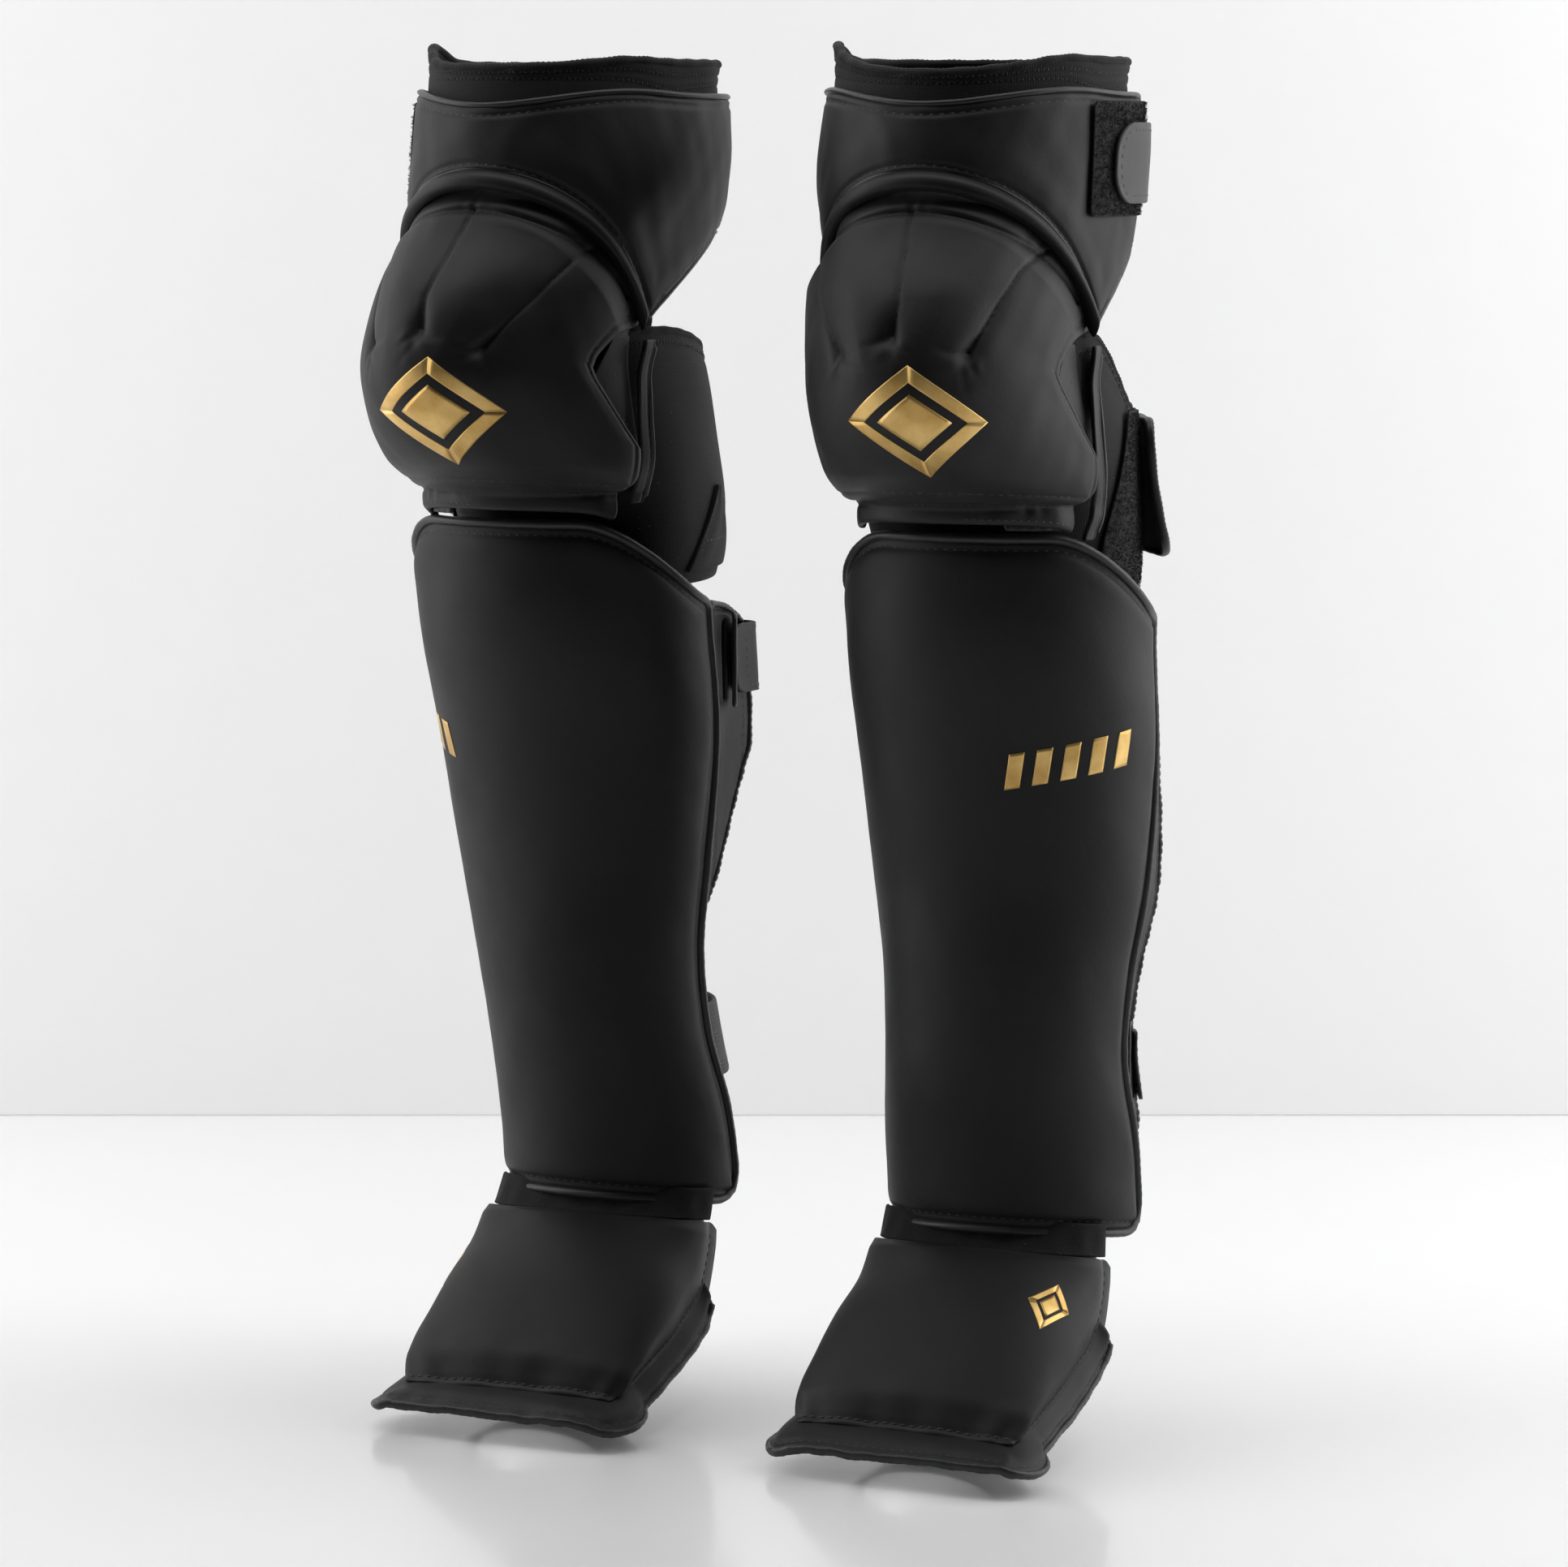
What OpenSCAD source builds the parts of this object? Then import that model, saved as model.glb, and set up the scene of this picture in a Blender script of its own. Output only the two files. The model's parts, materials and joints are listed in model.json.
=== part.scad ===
// Pair of worn leg guards: a shin and instep guard and a knee guard for each leg.
// Millimetres. +Z is up, the wearer faces -Y and the wearer's left is +X.
// The origin is on the ground, midway between the two knees.
// Each leg is drawn as the left one, in its own frame, and the right one is its mirror image.

/* [Stance] */
// Distance between the centres of the two knees
knee_gap = 212; // [190:1:260]
// How far each leg turns outwards, in degrees
toe_out = 4; // [0:1:8]

/* [Shin guard] */
// Thickness of the shin pad along its middle line
shin_pad_t = 20; // [16:1:22]
// Thickness of the shin pad at its side edges
shin_edge_t = 7; // [6:0.5:9]
// Height of the calf straps
calf_strap_h = 36; // [30:1:38]

/* [Instep] */
// Thickness of the instep pad
instep_pad_t = 11; // [8:1:12]
// Width of the flat stitched border in front of the instep pad
flange_w = 20; // [14:1:24]

/* [Knee guard] */
// Thickness of the knee dome's padding at its crown
dome_pad_t = 24; // [18:1:26]
// Thickness of the stretch sleeves
sleeve_t = 3; // [2.5:0.5:4]
// Height of the knee guard's calf strap
knee_strap_h = 62; // [50:1:66]

/* [Thigh cuff] */
// Thickness of the thigh cuff, cover to sleeve
cuff_t = 8.5; // [7.5:0.5:10]
// Height of the thigh strap's tab
thigh_strap_h = 36; // [30:1:40]

/* [View] */
// Sub-part to draw

/* [Hidden] */
skin = 1.2;      // leather, lining and patch thickness
lay = 0.2;       // clearance between two layers of one guard
loose = 0.9;     // clearance between pieces that are only sewn along an edge
strap_t = 2;     // webbing thickness
shin_bottom = 94;
shin_top = 422;
side_drop = 40;  // how far the shin guard's top edge falls towards its sides
cuff_top = 617;
dome_low = 439;
dome_high = 569;
ridge_gap = 7;   // room between the dome and the arched ridge above it
slot_w = 3.6;    // width of a strap slot

// Horizontal sections, bottom to top:
// [height, centre x, centre y, half depth in front, half depth behind, half width]
LIMB = [
    [95, 2, 84, 36, 46, 34],
    [215, 4, 72, 40, 44, 38],
    [290, 5, 60, 46, 52, 48],
    [370, 5, 46, 50, 70, 50],
    [405, 3.5, 44, 46, 86, 53.5],
    [430, 2.5, 38, 46, 88, 56.5],
    [475, 2, 24, 73, 86, 58],
    [513, 0, 13, 84, 76, 56],
];
SHIN = [
    [90, 1, 82, 54, 54, 60.5],
    [136, 1, 75, 55, 54, 61],
    [176, 2, 64, 55, 54, 58],
    [216, 4.5, 58, 54, 54, 60],
    [256, 6, 57, 56, 56, 65.5],
    [316, 6, 47, 60, 64, 69.5],
    [376, 6, 32, 64, 72, 71],
    [432, 7, 28, 62, 78, 74],
];
DOME = [
    [436, 3, 20, 69, 60, 66],
    [452, 2, 12, 96, 60, 68],
    [476, 1, 4, 113, 60, 67.5],
    [500, 0, 0, 117, 60, 66],
    [530, -2, 4, 109, 60, 66],
    [556, -3, 10, 90, 60, 66],
    [578, -4, 18, 81, 60, 66],
];
CUFF = [
    [500, 1, 14, 84, 60, 65],
    [540, -1, 24, 93, 64, 67],
    [580, -3.5, 30, 96, 66, 71],
    [614, -3, 34, 93, 66, 70.5],
    [640, -3, 37, 90, 66, 69],
];

// Smooth value of one column of a section table at a height
function span_at(t, z, i = 0) =
    (i >= len(t) - 2 || z < t[i + 1][0]) ? i : span_at(t, z, i + 1);
function slope_at(t, k, i) =
    let (a = max(0, i - 1), b = min(len(t) - 1, i + 1))
    (t[b][k] - t[a][k]) / (t[b][0] - t[a][0]);
function section(t, k, z) =
    let (zc = max(t[0][0], min(t[len(t) - 1][0], z)),
         i = span_at(t, zc),
         h = t[i + 1][0] - t[i][0],
         s = (zc - t[i][0]) / h)
    (2 * pow(s, 3) - 3 * pow(s, 2) + 1) * t[i][k]
    + (pow(s, 3) - 2 * pow(s, 2) + s) * h * slope_at(t, k, i)
    + (3 * pow(s, 2) - 2 * pow(s, 3)) * t[i + 1][k]
    + (pow(s, 3) - pow(s, 2)) * h * slope_at(t, k, i + 1);

// Point on a section table's surface. The angle is 0 in front and positive outwards.
function wall(t, angle, z, off) =
    let (depth = cos(angle) > 0 ? section(t, 3, z) : section(t, 4, z),
         r = 1 / sqrt(pow(cos(angle) / depth, 2) + pow(sin(angle) / section(t, 5, z), 2)) + off)
    [section(t, 1, z) + r * sin(angle), section(t, 2, z) - r * cos(angle), z];

function mix(a, b, f) = a + (b - a) * f;
function ease(x) = let (c = max(0, min(1, x))) c * c * (3 - 2 * c);
function ease_between(x, a, b) = ease((x - a) / (b - a));

// Closed body between two surfaces. Each is a function of s and t from 0 to 1.
module sheet(outer, inner, ns, nt) {
    k = (ns + 1) * (nt + 1);
    function id(i, j) = i * (nt + 1) + j;
    function quad(a, b, c, d) = [[a, b, c], [a, c, d]];
    polyhedron(
        concat([for (i = [0:ns]) for (j = [0:nt]) outer(i / ns, j / nt)],
               [for (i = [0:ns]) for (j = [0:nt]) inner(i / ns, j / nt)]),
        concat(
            [for (i = [0:ns - 1]) for (j = [0:nt - 1])
                each quad(id(i, j), id(i, j + 1), id(i + 1, j + 1), id(i + 1, j))],
            [for (i = [0:ns - 1]) for (j = [0:nt - 1])
                each quad(k + id(i, j), k + id(i + 1, j), k + id(i + 1, j + 1), k + id(i, j + 1))],
            [for (j = [0:nt - 1])
                each quad(id(0, j), k + id(0, j), k + id(0, j + 1), id(0, j + 1))],
            [for (j = [0:nt - 1])
                each quad(id(ns, j), id(ns, j + 1), k + id(ns, j + 1), k + id(ns, j))],
            [for (i = [0:ns - 1])
                each quad(id(i, 0), id(i + 1, 0), k + id(i + 1, 0), k + id(i, 0))],
            [for (i = [0:ns - 1])
                each quad(id(i, nt), k + id(i, nt), k + id(i + 1, nt), id(i + 1, nt))]));
}

// The same, for a sleeve that closes on itself as s goes from 0 to 1
module ring_sheet(outer, inner, ns, nt) {
    k = ns * (nt + 1);
    function id(i, j) = (i % ns) * (nt + 1) + j;
    function quad(a, b, c, d) = [[a, b, c], [a, c, d]];
    polyhedron(
        concat([for (i = [0:ns - 1]) for (j = [0:nt]) outer(i / ns, j / nt)],
               [for (i = [0:ns - 1]) for (j = [0:nt]) inner(i / ns, j / nt)]),
        concat(
            [for (i = [0:ns - 1]) for (j = [0:nt - 1])
                each quad(id(i, j), id(i, j + 1), id(i + 1, j + 1), id(i + 1, j))],
            [for (i = [0:ns - 1]) for (j = [0:nt - 1])
                each quad(k + id(i, j), k + id(i + 1, j), k + id(i + 1, j + 1), k + id(i, j + 1))],
            [for (i = [0:ns - 1])
                each quad(id(i, 0), id(i + 1, 0), k + id(i + 1, 0), k + id(i, 0))],
            [for (i = [0:ns - 1])
                each quad(id(i, nt), k + id(i, nt), k + id(i + 1, nt), id(i + 1, nt))]));
}

// Puts a leg's piece in place, and mirrors it for the right leg
module on_leg(side) {
    mirror([side == "left_" ? 0 : 1, 0, 0])
        translate([knee_gap / 2, 0, 0])
            rotate([0, 0, toe_out])
                children();
}

// ---- shin guard ----

// Angle from the middle line to the pad's side seam
function pad_reach(t) = 87 + 8 * pow(max(0, 1 - t / 0.3), 2) + 18 * ease_between(t, 0.5, 0.93);
function shin_low(angle) = shin_bottom + 3 - 5 * pow(angle / 70, 2);
function shin_high(angle) = shin_top - side_drop * ease_between(abs(angle), 36, 108);
function shin_t(s, t) =
    shin_edge_t + (shin_pad_t - shin_edge_t) * (1 - pow(abs(2 * s - 1), 4)) * (1 - pow(abs(2 * t - 1), 10));
// A layer of the shin pad: off is how deep it lies under the outer face
function shin_point(s, t, off) =
    let (angle = (2 * s - 1) * pad_reach(t))
    wall(SHIN, angle, mix(shin_low(angle), shin_high(angle), t), off);

module shin_cover(side) color([0.1, 0.1, 0.11]) on_leg(side)
    sheet(function(s, t) shin_point(s, t, 0), function(s, t) shin_point(s, t, -skin), 14, 9);

module shin_foam(side) color([0.35, 0.35, 0.36]) on_leg(side)
    sheet(function(s, t) shin_point(s, t, -skin - lay),
          function(s, t) shin_point(s, t, skin + lay - shin_t(s, t)), 14, 9);

module shin_lining(side) color([0.18, 0.18, 0.19]) on_leg(side)
    sheet(function(s, t) shin_point(s, t, skin - shin_t(s, t)),
          function(s, t) shin_point(s, t, -shin_t(s, t)), 14, 9);

// Bound edge around the shin pad: p goes once round from 0 to 4, corner to corner
binding_grow = 2.3;
binding_turn = 2.4;  // degrees from the pad's side edge to the bound edge
binding_r = 1.3;
function rim_st(p) =
    p < 1 ? [p, 0] : p < 2 ? [1, p - 1] : p < 3 ? [3 - p, 1] : [0, 4 - p];
function rim_point(p) =
    let (st = rim_st(p),
         angle = (2 * st[0] - 1) * (pad_reach(st[1]) + binding_turn),
         z = mix(shin_low(angle) - binding_grow, shin_high(angle) + binding_grow, st[1]))
    wall(SHIN, angle, z, -skin);
module shin_binding(side) color([0.16, 0.16, 0.17]) on_leg(side) {
    n = 48;
    m = 4;
    pts = [for (i = [0:n - 1])
        let (p = 4 * i / n,
             c = rim_point(p),
             a = rim_point((4 * (i + n - 1) / n) % 4),
             b = rim_point((4 * (i + 1) / n) % 4),
             dir = (b - a) / norm(b - a),
             axis = [section(SHIN, 1, c[2]), section(SHIN, 2, c[2]), c[2]],
             out0 = c - axis,
             out1 = out0 - dir * (out0 * dir),
             up = out1 / norm(out1),
             across = cross(dir, up))
        for (q = [0:m - 1]) c + binding_r * (cos(360 * q / m) * up + sin(360 * q / m) * across)];
    polyhedron(pts, [for (i = [0:n - 1]) for (q = [0:m - 1])
        each let (i2 = (i + 1) % n, q2 = (q + 1) % m)
        [[i * m + q, i * m + q2, i2 * m + q2], [i * m + q, i2 * m + q2, i2 * m + q]]]);
}

// Thin side wings behind the pad, with a slot for a strap
wing_t = 3.2;
wing_in = 2;      // the wing starts this much inside the pad's outer face
inner_flare = 18; // how far the inner wing's back edge stands off
outer_flare = 5;
outer_tuck = 4;   // how far the outer wing's lower part leans in
seam_room = 4.4;    // degrees between the pad's edge and the wing, where the bound edge runs
wing_upper_z = [236, 380];
wing_lower_z = [130, 372];
upper_strap_z = 352;
lower_strap_z = 168;
function reach_at(z) = pad_reach((z - 92) / 290);
function wing_angle(s, z, w) = reach_at(z) + seam_room + s * w;
function inner_wing_point(s, t, off) =
    let (z = mix(wing_upper_z[0] + 72 * pow(1 - s, 1.3), wing_upper_z[1] - 10 * pow(1 - s, 3), t),
         flare = inner_flare * mix(0.5, 1, ease_between(z, 250, 340)))
    wall(SHIN, -wing_angle(1 - s, z, 23), z, off + flare * pow(1 - s, 2));
function outer_wing_point(s, t, off) =
    let (z = mix(wing_lower_z[0] + 12 * s * s, wing_lower_z[1] - 10 * pow(s, 3), t))
    wall(SHIN, wing_angle(s, z, 17), z,
         off + outer_flare * s * s - outer_tuck * s * (1 - ease_between(z, 170, 270)));
inner_slot_angle = -119;
outer_slot_angle = 98;
module slot(angle, z)
    translate(wall(SHIN, angle, z, 0))
        rotate([0, 0, angle])
            cube([slot_w, 4 * wing_t, calf_strap_h + 4], center = true);

module shin_wing_inner(side) color([0.14, 0.14, 0.15]) on_leg(side)
    difference() {
        sheet(function(s, t) inner_wing_point(s, t, -wing_in),
              function(s, t) inner_wing_point(s, t, -wing_in - wing_t), 4, 7);
        slot(inner_slot_angle, upper_strap_z);
    }

module shin_wing_outer(side) color([0.14, 0.14, 0.15]) on_leg(side)
    difference() {
        sheet(function(s, t) outer_wing_point(s, t, -wing_in),
              function(s, t) outer_wing_point(s, t, -wing_in - wing_t), 4, 9);
        slot(outer_slot_angle, lower_strap_z);
    }

// Straps round the calf, inside the wings, with folded-back tabs outside
under_wing = -wing_in - wing_t - 1 - strap_t;
function upper_off(angle) =
    let (f = (angle - 110) / 130)
    under_wing + 3.5 * f + 12 * sin(180 * max(0, f - 0.08) / 0.92);
function lower_off(angle) =
    let (f = (angle - 99) / 169) under_wing - outer_tuck * (1 - f) + 1 - f + 7 * sin(180 * f);
module band(t, a, b, z, h, lift, thick, ns, nt = 1) {
    sheet(function(s, v) wall(t, mix(a, b, s), z + h * (v - 0.5), lift(mix(a, b, s)) + thick),
          function(s, v) wall(t, mix(a, b, s), z + h * (v - 0.5), lift(mix(a, b, s))), ns, nt);
}
module calf_strap_upper(side) color([0.09, 0.09, 0.1]) on_leg(side)
    band(SHIN, 110, 240, upper_strap_z, calf_strap_h, function(a) upper_off(a), strap_t, 12);
module calf_strap_lower(side) color([0.09, 0.09, 0.1]) on_leg(side)
    band(SHIN, 99, 268, lower_strap_z, calf_strap_h, function(a) lower_off(a), strap_t, 14);

// Folded-back tabs: each leaves its slot outside the wing and lies back over its strap
tab_lift = 1.2;
tab_clear = 2.6;  // extra room over the flared inner wing
function over_wing(s, flare) = tab_lift - wing_in + flare * s * s;
function inner_wing_s(angle) =
    max(0, min(1, (360 - angle - reach_at(upper_strap_z) - seam_room) / 23));
function upper_tab_off(angle) =
    angle > 227 ? tab_clear + over_wing(inner_wing_s(angle), inner_flare)
    : mix(upper_off(angle) + strap_t + tab_lift, tab_clear + over_wing(1, inner_flare),
          ease_between(angle, 212, 227));
function lower_tab_off(angle) =
    mix(over_wing(1, outer_flare - outer_tuck), lower_off(angle) + strap_t + tab_lift,
        ease_between(angle, 111, 124));
module calf_tab_upper(side) color([0.12, 0.12, 0.13]) on_leg(side)
    band(SHIN, 190, 240, upper_strap_z, calf_strap_h - 2, function(a) upper_tab_off(a), strap_t, 10);
module calf_tab_lower(side) color([0.12, 0.12, 0.13]) on_leg(side)
    band(SHIN, 99, 150, lower_strap_z, calf_strap_h - 2, function(a) lower_tab_off(a), strap_t, 10);

// ---- instep guard ----

// The foot points straight ahead while the leg turns out a little
foot_turn = -5;
foot_pivot_y = 70;
// Stations from the toe end to the ankle: [t, middle y, middle z, edge x, edge y, edge z]
INSTEP = [
    [0, -62, 26, 58, -56, 18],
    [0.25, -40, 49, 61, -22, 25],
    [0.5, -15, 70, 62, 18, 34],
    [0.75, 6, 84, 61, 50, 47],
    [1, 23, 91, 60, 66, 80],
];
function foot_in_leg(p) =
    let (c = cos(foot_turn), n = sin(foot_turn), y = p[1] - foot_pivot_y)
    [c * p[0] - n * y, n * p[0] + c * y + foot_pivot_y, p[2]];
function instep_point(s, t, depth) =
    let (a = 90 * (2 * s - 1),
         f = pow(max(0.0001, cos(a)), 0.5),
         y = mix(section(INSTEP, 4, t), section(INSTEP, 1, t), f),
         z = mix(section(INSTEP, 5, t), section(INSTEP, 2, t), f),
         n = [sin(a) * 0.9, -0.45 * cos(a), 0.9 * cos(a) + 0.1])
    foot_in_leg([section(INSTEP, 3, t) * sin(a), y, z] - depth * n / norm(n));

module instep_cover(side) color([0.1, 0.1, 0.11]) on_leg(side)
    sheet(function(s, t) instep_point(s, t, 0), function(s, t) instep_point(s, t, skin), 14, 8);

module instep_foam(side) color([0.35, 0.35, 0.36]) on_leg(side)
    sheet(function(s, t) instep_point(s, t, skin + lay),
          function(s, t) instep_point(s, t, instep_pad_t - 5 * pow(abs(2 * s - 1), 3)), 14, 8);

// Flat stitched border round the instep pad: up one side, across the toe end, down the other
flange_t = 3;
side_part = 0.32;  // share of the border that runs along each side
side_end = 0.8;    // how far up the side it goes
function border_st(p) =
    p < side_part ? [0, side_end * (1 - p / side_part)]
    : p < 1 - side_part ? [(p - side_part) / (1 - 2 * side_part), 0]
    : [1, side_end * (p - 1 + side_part) / side_part];
function flange_point(s, t, off) =
    let (st = border_st(s),
         front = ease_between(s, side_part - 0.14, side_part + 0.06)
             * (1 - ease_between(s, 0.94 - side_part, 1.14 - side_part)),
         way = s < 0.5 ? -1 : 1,
         dir = [way * mix(0.32, 0.12, front), mix(-0.2, -0.85, front), mix(-0.92, -0.5, front)],
         w = mix(0.6, flange_w * mix(0.6, 1, front), t),
         corner = [way * mix(0, 3, front * (1 - front) * 4), 0, 0])
    instep_point(st[0], st[1], 0.6) + w * dir / norm(dir) + t * corner
        - off * [way * mix(0.9, 0.1, front), mix(0, -0.3, front), mix(0.3, 0.9, front)];
module instep_flange(side) color([0.12, 0.12, 0.13]) on_leg(side)
    sheet(function(s, t) flange_point(s, 1 - t, 0), function(s, t) flange_point(s, 1 - t, flange_t), 30, 1);

// Stretch panel at the ankle fold, under the shin guard's lower edge
flex_t = 2.5;
function flex_point(s, t, depth) =
    instep_point(mix(0.06, 0.94, s), 1, depth + 3) + [0, 1 + 5 * t, 0.6 + 1.2 * t];
module ankle_flex_panel(side) color([0.07, 0.07, 0.08]) on_leg(side)
    sheet(function(s, t) flex_point(s, t, 0), function(s, t) flex_point(s, t, flex_t), 12, 1);

// Elastic bands under the sole and behind the heel, between the instep's side edges
elastic_w = 28;
elastic_t = 1.6;
function sole_point(s, t, off) =
    let (a = 180 * s)
    foot_in_leg([-(46 + off) * cos(a), mix(-26, -26 + elastic_w, t), 28 - (24 + off) * sin(a)]);
module sole_strap(side) color([0.09, 0.09, 0.1]) on_leg(side)
    sheet(function(s, t) sole_point(s, t, 0), function(s, t) sole_point(s, t, -elastic_t), 12, 1);
function heel_point(s, t, off) =
    let (a = 180 * s)
    foot_in_leg([(46 + off) * cos(a), 50 + (66 + off) * sin(a), mix(48, 48 + elastic_w, t)]);
module heel_strap(side) color([0.09, 0.09, 0.1]) on_leg(side)
    sheet(function(s, t) heel_point(s, t, 0), function(s, t) heel_point(s, t, -elastic_t), 16, 1);

// ---- knee guard ----

dome_reach = 68;
notch_depth = 19;  // degrees cut out of the dome's side
notch_t = [0.22, 0.52, 0.98];  // how far up the side the cut starts, is deepest and ends
arch_drop = 68;    // how far the dome's and the cuff's arches fall towards the sides
function notch(t) =
    let (rise = (t - notch_t[0]) / (notch_t[1] - notch_t[0]),
         fall = (notch_t[2] - t) / (notch_t[2] - notch_t[1]))
    max(0, min(rise, fall));
function dome_side(t) = dome_reach - notch_depth * notch(t) - 6 * pow(max(0, 1 - t / 0.3), 2);
function dome_low_at(angle) = dome_low - 3 * pow(angle / 60, 2);
function dome_high_at(angle) = dome_high - arch_drop * pow(abs(angle) / 76, 1.9);
function dome_t(s, t) =
    6 + (dome_pad_t - 6) * (1 - pow(abs(2 * s - 1), 3)) * (1 - pow(abs(2 * t - 1), 4));
function dome_point(s, t, off) =
    let (angle = (2 * s - 1) * dome_side(t))
    wall(DOME, angle, mix(dome_low_at(angle), dome_high_at(angle), t), off);

module knee_cover(side) color([0.1, 0.1, 0.11]) on_leg(side)
    sheet(function(s, t) dome_point(s, t, 0), function(s, t) dome_point(s, t, -skin), 14, 12);

module knee_foam(side) color([0.35, 0.35, 0.36]) on_leg(side)
    sheet(function(s, t) dome_point(s, t, -skin - lay),
          function(s, t) dome_point(s, t, -dome_t(s, t)), 14, 12);

// Gathered band under the dome
skirt_reach = 57;
function skirt_point(s, t, off) =
    let (angle = mix(-skirt_reach, skirt_reach, s), low = 429 - 2 * pow(angle / 60, 2))
    wall(DOME, angle, mix(low, dome_low_at(angle) - 1, t), off - 3);
module knee_skirt(side) color([0.09, 0.09, 0.1]) on_leg(side)
    sheet(function(s, t) skirt_point(s, t, 0), function(s, t) skirt_point(s, t, -4), 12, 1);

// Narrow leather strips that join the dome's sides to the sleeve
function strip_point(s, t, way, off) =
    let (z = mix(420, 506, t), a = 67 + 0.14 * (z - 415), w = mix(-4, 4, s))
    wall(DOME, way > 0 ? a + w : w - a, z,
         off - 7 + 3 * ease_between(z, 420, 432) + 2.5 * ease_between(z, 488, 506));
module knee_strip_outer(side) color([0.12, 0.12, 0.13]) on_leg(side)
    sheet(function(s, t) strip_point(s, t, 1, 0), function(s, t) strip_point(s, t, 1, -2.5), 2, 6);
module knee_strip_inner(side) color([0.12, 0.12, 0.13]) on_leg(side)
    sheet(function(s, t) strip_point(s, t, -1, 0), function(s, t) strip_point(s, t, -1, -2.5), 2, 6);

// Stretch sleeve round the top of the calf, under the dome
sleeve_off = 2;
function sleeve_top(angle) =
    494 + 10 * pow(abs(cos(angle / 2)), 2) + 11 * pow(sin(angle), 2)
    - 20 * ease_between(angle, 72, 108) * (1 - ease_between(angle, 130, 178));
function sleeve_point(s, t, off) =
    let (angle = -360 * (0.5 - s))
    wall(LIMB, angle, mix(390, sleeve_top(angle), t), sleeve_off + off);
module calf_sleeve(side) color([0.07, 0.07, 0.08]) on_leg(side)
    ring_sheet(function(s, t) sleeve_point(s, t, sleeve_t),
               function(s, t) sleeve_point(s, t, 0), 22, 4);

// Fuzzy patch on the sleeve's outer side with a slanted front edge, and the strap that grips it
function calf_loop_point(s, t, off) =
    wall(LIMB, mix(62 + 32 * pow(t, 1.5), 128, s), 434 + 84 * (t - 0.5),
         sleeve_off + sleeve_t + loose + off);
module calf_loop_patch(side) color([0.05, 0.05, 0.05]) on_leg(side)
    sheet(function(s, t) calf_loop_point(s, t, skin), function(s, t) calf_loop_point(s, t, 0), 10, 5);
knee_strap_room = 1.9;  // clearance over the fuzzy patch it grips
knee_strap_t = 2.6;
function knee_strap_lift(a) =
    sleeve_off + sleeve_t + loose + skin + knee_strap_room + 3 * ease_between(a, 125, 102);
// Its free end stands further off along its lower edge
function knee_strap_point(s, t, off) =
    let (a = mix(102, 190, s))
    wall(LIMB, a, 440 + knee_strap_h * (t - 0.5),
         knee_strap_lift(a) + 7 * pow(1 - t, 2) * ease_between(a, 138, 104) + off);
module knee_strap(side) color([0.08, 0.08, 0.09]) on_leg(side)
    sheet(function(s, t) knee_strap_point(s, t, knee_strap_t),
          function(s, t) knee_strap_point(s, t, 0), 16, 5);

// ---- thigh cuff ----

ridge_h = 7;      // height of the padded ridge on the cuff's lower front edge
cuff_from = -132;
cuff_to = 104;
function cuff_low_at(angle) =
    let (a = abs(angle))
    a < 66 ? dome_high + ridge_gap + ridge_h + 1 - arch_drop * pow(a / 66, 1.9)
           : mix(dome_high + ridge_gap + ridge_h + 1 - arch_drop, 555, pow(min(1, (a - 66) / 42), 0.85));
function cuff_point(s, t, off) =
    let (angle = mix(cuff_from, cuff_to, s))
    wall(CUFF, angle, mix(cuff_low_at(angle), cuff_top, t), off);
module cuff_cover(side) color([0.1, 0.1, 0.11]) on_leg(side)
    sheet(function(s, t) cuff_point(s, t, 0), function(s, t) cuff_point(s, t, -skin), 20, 3);
module cuff_pad(side) color([0.35, 0.35, 0.36]) on_leg(side)
    sheet(function(s, t) cuff_point(s, t, -skin - lay),
          function(s, t) cuff_point(s, t, sleeve_t + lay - cuff_t), 20, 3);

// Arched padded ridge along the cuff's lower front edge
ridge_reach = 64;
function ridge_point(s, t, off) =
    let (angle = mix(-ridge_reach, ridge_reach, s), top = cuff_low_at(angle) - 1)
    wall(CUFF, angle, mix(top - ridge_h, top, t), off * (0.6 + 0.4 * sin(180 * t)));
module cuff_ridge(side) color([0.1, 0.1, 0.11]) on_leg(side)
    sheet(function(s, t) ridge_point(s, t, 5), function(s, t) ridge_point(s, t, -5), 18, 3);

function thigh_sleeve_low(angle) =
    max(523, cuff_low_at(min(120, abs(angle))) + mix(2, -4, ease_between(abs(angle), 75, 105)));
function thigh_sleeve_point(s, t, off) =
    let (angle = -360 * (0.5 - s))
    wall(CUFF, angle, mix(thigh_sleeve_low(angle), 633, t), off - cuff_t - loose + lay);
module thigh_sleeve(side) color([0.07, 0.07, 0.08]) on_leg(side)
    ring_sheet(function(s, t) thigh_sleeve_point(s, t, sleeve_t),
               function(s, t) thigh_sleeve_point(s, t, 0), 22, 3);

thigh_strap_z = 587;
module thigh_loop_patch(side) color([0.05, 0.05, 0.05]) on_leg(side)
    band(CUFF, 55, 102, 589, 51, function(a) loose, skin, 8);
module thigh_strap(side) color([0.3, 0.3, 0.31]) on_leg(side)
    band(CUFF, 66, 226, thigh_strap_z, thigh_strap_h, function(a) loose + skin + 0.8, strap_t, 20);

// ---- drawing ----

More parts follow.
